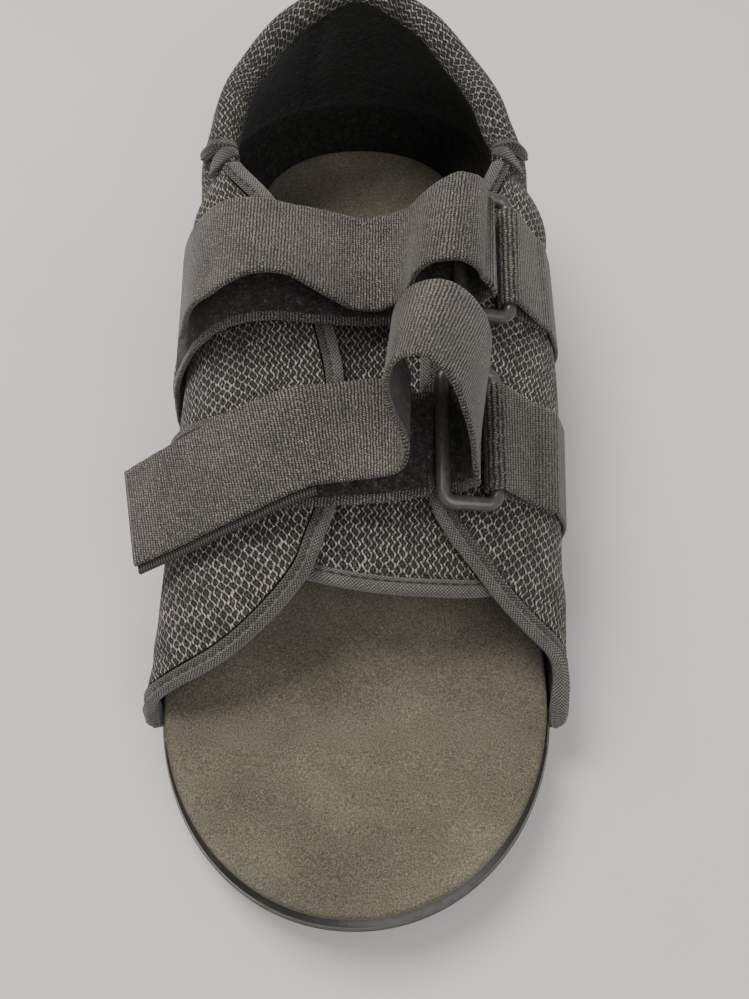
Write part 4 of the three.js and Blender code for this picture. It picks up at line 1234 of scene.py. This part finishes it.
def build_ring(which):
    frame_of = FRAMES[which]
    half_across, half_along = (ring_width - ring_bar) / 2, (ring_length - ring_bar) / 2
    angles = np.concatenate([start + np.radians(np.arange(0, 91, 9)) for start in np.arange(4) * QUARTER])
    quarter = np.repeat(np.radians([45, 135, 225, 315]), 11)
    across = np.sign(np.cos(quarter)) * (half_across - ring_corner) + ring_corner * np.cos(angles)
    along = np.sign(np.sin(quarter)) * (half_along - ring_corner) + ring_corner * np.sin(angles)
    turn = np.linspace(0, 2 * math.pi, 20, endpoint=False)[None]
    outwards = ring_bar / 2 * np.cos(turn)
    grid = frame_of.at(across[:, None] + outwards * np.cos(angles)[:, None],
                       along[:, None] + outwards * np.sin(angles)[:, None],
                       0 * across[:, None] + ring_bar / 2 * np.sin(turn))
    grid = np.concatenate([grid, grid[:1]])
    round_bar = np.linspace(0, math.pi * ring_bar, 21)
    uv = np.stack(np.broadcast_arrays(lengths(grid[:, 0])[:, None], round_bar), -1)
    made = grid_object(which + "_ring_loop", [grid], [uv], [PLASTIC], wrap=True)
    modify(made, "WELD", merge_threshold=1e-5)
    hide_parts(which + "_ring")


def through(points, steps):
    """A smooth curve through points, spaced by the root of their distances."""
    points = np.asarray(points, float)
    ends = np.concatenate([[2 * points[0] - points[1]], points, [2 * points[-1] - points[-2]]])
    made = []
    for i in range(len(points) - 1):
        p0, p1, p2, p3 = ends[i:i + 4]
        d0, d1, d2 = (max(np.linalg.norm(b - a), 1e-8) ** 0.5 for a, b in ((p0, p1), (p1, p2), (p2, p3)))
        if d1 < 1e-2:
            d1 = 1.0
        d0, d2 = (d1 if d < 1e-2 else d for d in (d0, d2))
        t1 = ((p1 - p0) / d0 - (p2 - p0) / (d0 + d1) + (p2 - p1) / d1) * d1
        t2 = ((p2 - p1) / d1 - (p3 - p1) / (d1 + d2) + (p3 - p2) / d2) * d1
        s = np.linspace(0, 1, steps, endpoint=False)[:, None]
        made.append(p1 + t1 * s + (-3 * p1 + 3 * p2 - 2 * t1 - t2) * s**2
                    + (2 * p1 - 2 * p2 + t1 + t2) * s**3)
    return np.concatenate([*made, points[-1:]])


def resting_fold(hoop, along_share, off, width):
    hoop, along_share = np.asarray(hoop, float), np.asarray(along_share, float)
    climb = 2 - np.abs(hoop)
    hand = np.where(hoop < 0, -1.0, 1.0)
    run_at = lambda shift: (along_share * footbed_length + shift) / heel_centre
    reach = raised(run_at(width / 2), hand, climb, off) - raised(run_at(-width / 2), hand, climb, off)
    return raised(run_at(0), hand, climb, off), unit(reach)


def free_folds(table):
    c = {name: table.rows[:, k] for k, name in enumerate(table.columns)}
    middle = place(c["across"] * half_ball, c["along"] * footbed_length, c["up"] * instep_height)
    lean, yaw = np.radians(c["lean"]), np.radians(c["yaw"])
    return middle, np.stack([-np.sin(yaw), np.cos(yaw) * np.cos(lean), np.sin(lean)], -1)


def ring_folds(frame_of):
    bar_across = (ring_width - ring_bar) / 2
    depth = ring_bar / 2 + seam + strap_thickness / 2
    bar, across, above, under = THREADING.rows.T
    middle = frame_of.at(bar * bar_across + across * ring_bar, 0 * bar, above * ring_bar - under * depth)
    return middle, np.broadcast_to(frame_of.bar, middle.shape)


def part(path, start=None, end=None):
    return path[0][start:end], path[1][start:end]


def chain(*paths):
    """One path of a band's folds after another, each as middles and widths."""
    return tuple(np.concatenate(values) for values in zip(*paths))


def curve(path, steps):
    return through(path[0], steps), unit(through(path[1], steps))


def strap_path(under, frame_of, outer, steps=14):
    start, end = under.rows[0, 0], under.rows[-1, 0]
    hoops = np.linspace(start, end, math.ceil((end - start) / strap_fold_step) * 5 + 1)
    s = under.read(hoops)
    off = strap_rest + strap_thickness / 2 + s["lift"] * strap_thickness
    rest = resting_fold(hoops, s["along"], off, strap_width)
    free = chain(part(rest, -1), ring_folds(frame_of), free_folds(outer))
    return chain(part(rest, None, -1), curve(free, steps))


def even(middle, width, step=1.1):
    """The same path with folds an even step apart."""
    run = lengths(middle)
    at = np.linspace(0, run[-1], int(run[-1] / step) + 1)
    pick = lambda values: np.stack([np.interp(at, run, values[:, k]) for k in range(3)], -1)
    return pick(middle), unit(pick(width)), at


def band_profile(width, thick, selvage, points=19, edge=3):
    """A flat band's section, as places across, heights and which side each belongs to."""
    radius = thick / 2
    x = np.linspace(radius - width / 2, width / 2 - radius, points)
    bead = selvage * np.exp(-((np.abs(x) - (width / 2 - 1.6)) / 0.5) ** 2)
    turn = np.linspace(QUARTER, -QUARTER, edge + 2)[1:-1]
    right = np.stack([width / 2 - radius + radius * np.cos(turn), radius * np.sin(turn)], -1)
    top, low = np.stack([x, radius + bead], -1), np.stack([x[::-1], -radius + 0 * x], -1)
    profile = np.concatenate([top, right, low, right[::-1] * [-1, 1]])
    pile = points + edge + 1
    kinds = np.zeros(len(profile), int)
    kinds[pile:pile + points - 3] = 1
    return profile, kinds


def band_object(name, middle, width_way, width, thick, materials, ripple=0.0, selvage=0.0):
    middle, across, at = even(middle, width_way)
    normal = unit(np.cross(across, unit(np.gradient(middle, axis=0))))
    profile, kinds = band_profile(width, thick, selvage)
    edge_wave = 1 + ripple * (np.sin(at * 0.9) + np.sin(at * 2.3 + 1)) / width
    x = profile[:, 0] * edge_wave[:, None]
    grid = middle[:, None] + x[..., None] * across[:, None] + profile[None, :, 1:] * normal[:, None]
    girth = lengths(np.concatenate([profile, profile[:1]]))
    uv = np.stack(np.broadcast_arrays(at[:, None], girth[None]), -1)
    made = grid_object(name, [grid], [uv], materials, kinds=kinds, wrap=True, caps=True)
    return made, middle, across, normal


def build_strap(which, under, outer):
    made, *_ = band_object(which + "_strap_webbing", *strap_path(under, FRAMES[which], outer), strap_width,
                           strap_thickness, [WEBBING, PILE], ripple=0.12, selvage=0.12)
    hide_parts(which + "_strap")


def build_hook():
    middle, width = curve(part(free_folds(FRONT_OUTER), hook_first_fold), 10)
    normal = unit(np.cross(width, unit(np.gradient(middle, axis=0))))
    normal *= -np.sign(normal[:, 2:])
    middle = middle + normal * ((strap_thickness + hook_thickness) / 2 + seam * 0.3) - width * hook_shift
    made, *_ = band_object("front_hook_strip", middle, width, strap_width - 2 * hook_inset,
                           hook_thickness, [HOOK] * 2)
    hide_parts("front_hook_tape")


def chape_path(frame_of, width):
    around = ring_bar / 2 + seam + webbing_thickness / 2
    low = seam + webbing_thickness / 2
    high = low + webbing_thickness + seam

    def layer(start, end, off):
        hoops = np.linspace(start, end, math.ceil(abs(end - start) / chape_fold_step) * 4 + 1)
        lift = chape_foot_lift * smooth((hoops - 1) / (chape_foot - 1))
        along = np.full(len(hoops), frame_of.from_toe / footbed_length)
        return resting_fold(hoops, along, off + lift, width)

    turn = np.radians(chape_roll)
    roll = frame_of.at((ring_width - ring_bar) / 2 + around * np.cos(turn), 0 * turn, around * np.sin(turn))
    _, _, climb = hoop_at(frame_of.across + ring_width / 2 + ring_bar, frame_of.from_toe)
    beside = 2 - float(climb)
    under = layer(chape_end, beside, low)
    over = layer(beside + chape_fold_step, chape_end, high)
    foot = layer(chape_end + 2 * chape_fold_step, chape_foot, low)
    bars = np.broadcast_to(frame_of.bar, roll.shape)
    loop = curve(chain(part(under, -1), (roll, bars), part(over, None, 1)), 10)
    return chain(part(under, None, -1), loop, part(over, 1), foot)


def build_chape(which):
    width = ring_length - 2 * ring_bar - ring_corner
    made, centre, side, normal = band_object(
        which + "_chape_webbing", *chape_path(FRAMES[which], width), width, webbing_thickness,
        [CHAPE_WEBBING] * 2, selvage=0.3)
    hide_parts(which + "_chape")
    run = lengths(centre)
    over = run > run[-1] * 0.52
    up = normal[over]
    for label, shift in (("a", -1), ("b", 1)):
        line = centre[over] + side[over] * shift * (width / 2 - 2.6) + up * webbing_thickness / 2
        stitches(f"{which}_chape_stitches_{label}", line, up, THREAD, 2.8, 2.0, 0.25)


# Loose threads

def build_threads(name, paths, material, radius=0.14):
    """Thin threads through given points."""
    grids = []
    for path in paths:
        line = through(path, 6)
        way = unit(np.gradient(line, axis=0))
        beside = unit(np.cross(way, [0.2, 0.3, 1.0]))
        grids.append(tube(line, beside, np.cross(beside, way), radius, 5))
    made = tubes(name, grids, 1, material)


def build_fray():
    """Threads that have come out of the front strap's free corner."""
    middle, width = free_folds(FRONT_OUTER)
    end, way = middle[-1], unit(middle[-1] - middle[-2])
    corner = end - width[-1] * (strap_width / 2 - 1.5) - way * 5
    paths = []
    for _ in range(5):
        start = corner + way * random.uniform(-1.5, 1.5) + [0, 0, -strap_thickness - hook_thickness]
        drop = random.uniform(2.0, 4.5)
        drift = np.array([random.uniform(-1.2, 1.2), random.uniform(-1.2, 0.2), 0])
        paths.append([start, start + [0, 0, -drop / 2] + drift / 3, start + [0, 0, -drop] + drift])
    build_threads("front_strap_fray", paths, THREAD)


def build_pulled_threads():
    """Threads pulled out of the rear strap's resting part, by the end of its free part."""
    hoops = np.linspace(-0.66, -1.15, 9)
    s = REAR_UNDER.read(hoops)
    off = strap_rest + (1 + s["lift"]) * strap_thickness + 0.2
    paths = []
    for shift, sway in ((-12.4, 0.4), (-11.2, -0.4), (-9.8, 0.7)):
        bend = shift + sway * np.sin(np.linspace(0, 5, len(hoops)))
        paths.append(resting_fold(hoops, s["along"] + bend / footbed_length, off, strap_width)[0])
    build_threads("rear_strap_threads", paths, PALE_THREAD, radius=0.1)


# Camera, floor and light

def build_camera():
    data = bpy.data.cameras.new("camera")
    data.lens = 37.84
    data.sensor_width = 36
    camera = add("camera", data)
    camera.location = (0.0053, -0.2479, 0.314)
    camera.rotation_euler = (math.radians(26), 0, 0)
    bpy.context.scene.camera = camera


def build_floor():
    mesh = bpy.data.meshes.new("floor")
    size = 3
    mesh.from_pydata([(-size, -size, 0), (size, -size, 0), (size, size, 0), (-size, size, 0)], [],
                     [(0, 1, 2, 3)])
    s = Shader("floor", roughness=0.9)
    s.finish(s.ramp(s.noise(8, 3, 0.5), [(0.3, (0.60, 0.58, 0.56)), (0.7, (0.64, 0.62, 0.60))]))
    mesh.materials.append(s.material)
    floor = add("floor", mesh)


def area_light(name, where, size, watts, colour=(1, 1, 1)):
    data = bpy.data.lights.new(name, "AREA")
    data.shape = "DISK"
    data.size = size
    data.energy = watts
    data.color = colour
    light = add(name, data)
    light.location = where
    light.rotation_euler = (Vector((0, -0.1, 0.05)) - Vector(where)).to_track_quat("-Z", "Y").to_euler()


def build_light():
    world = bpy.data.worlds.new("studio")
    world.use_nodes = True
    background = world.node_tree.nodes["Background"]
    background.inputs[0].default_value = (1, 0.98, 0.96, 1)
    background.inputs[1].default_value = 0.38
    bpy.context.scene.world = world
    area_light("key", (-0.4, 0.34, 1.1), 0.6, 16, (1, 0.97, 0.93))
    area_light("fill", (0.35, -0.75, 0.95), 1.0, 7.5)


build_camera()
build_floor()
build_light()
build_footbed()
build_outsole()
build_upper()
build_flap_binding(-1, "left_binding_tape", "left_binding")
build_flap_binding(1, "right_binding_tape", "right_binding")
build_notch_wraps(-1, "left_notch_tape")
build_notch_wraps(1, "right_notch_tape")
build_tongue()
for which in ("front", "rear"):
    build_ring(which)
    build_chape(which)
build_strap("front", FRONT_UNDER, FRONT_OUTER)
build_strap("rear", REAR_UNDER, REAR_OUTER)
build_hook()
build_fray()
build_pulled_threads()
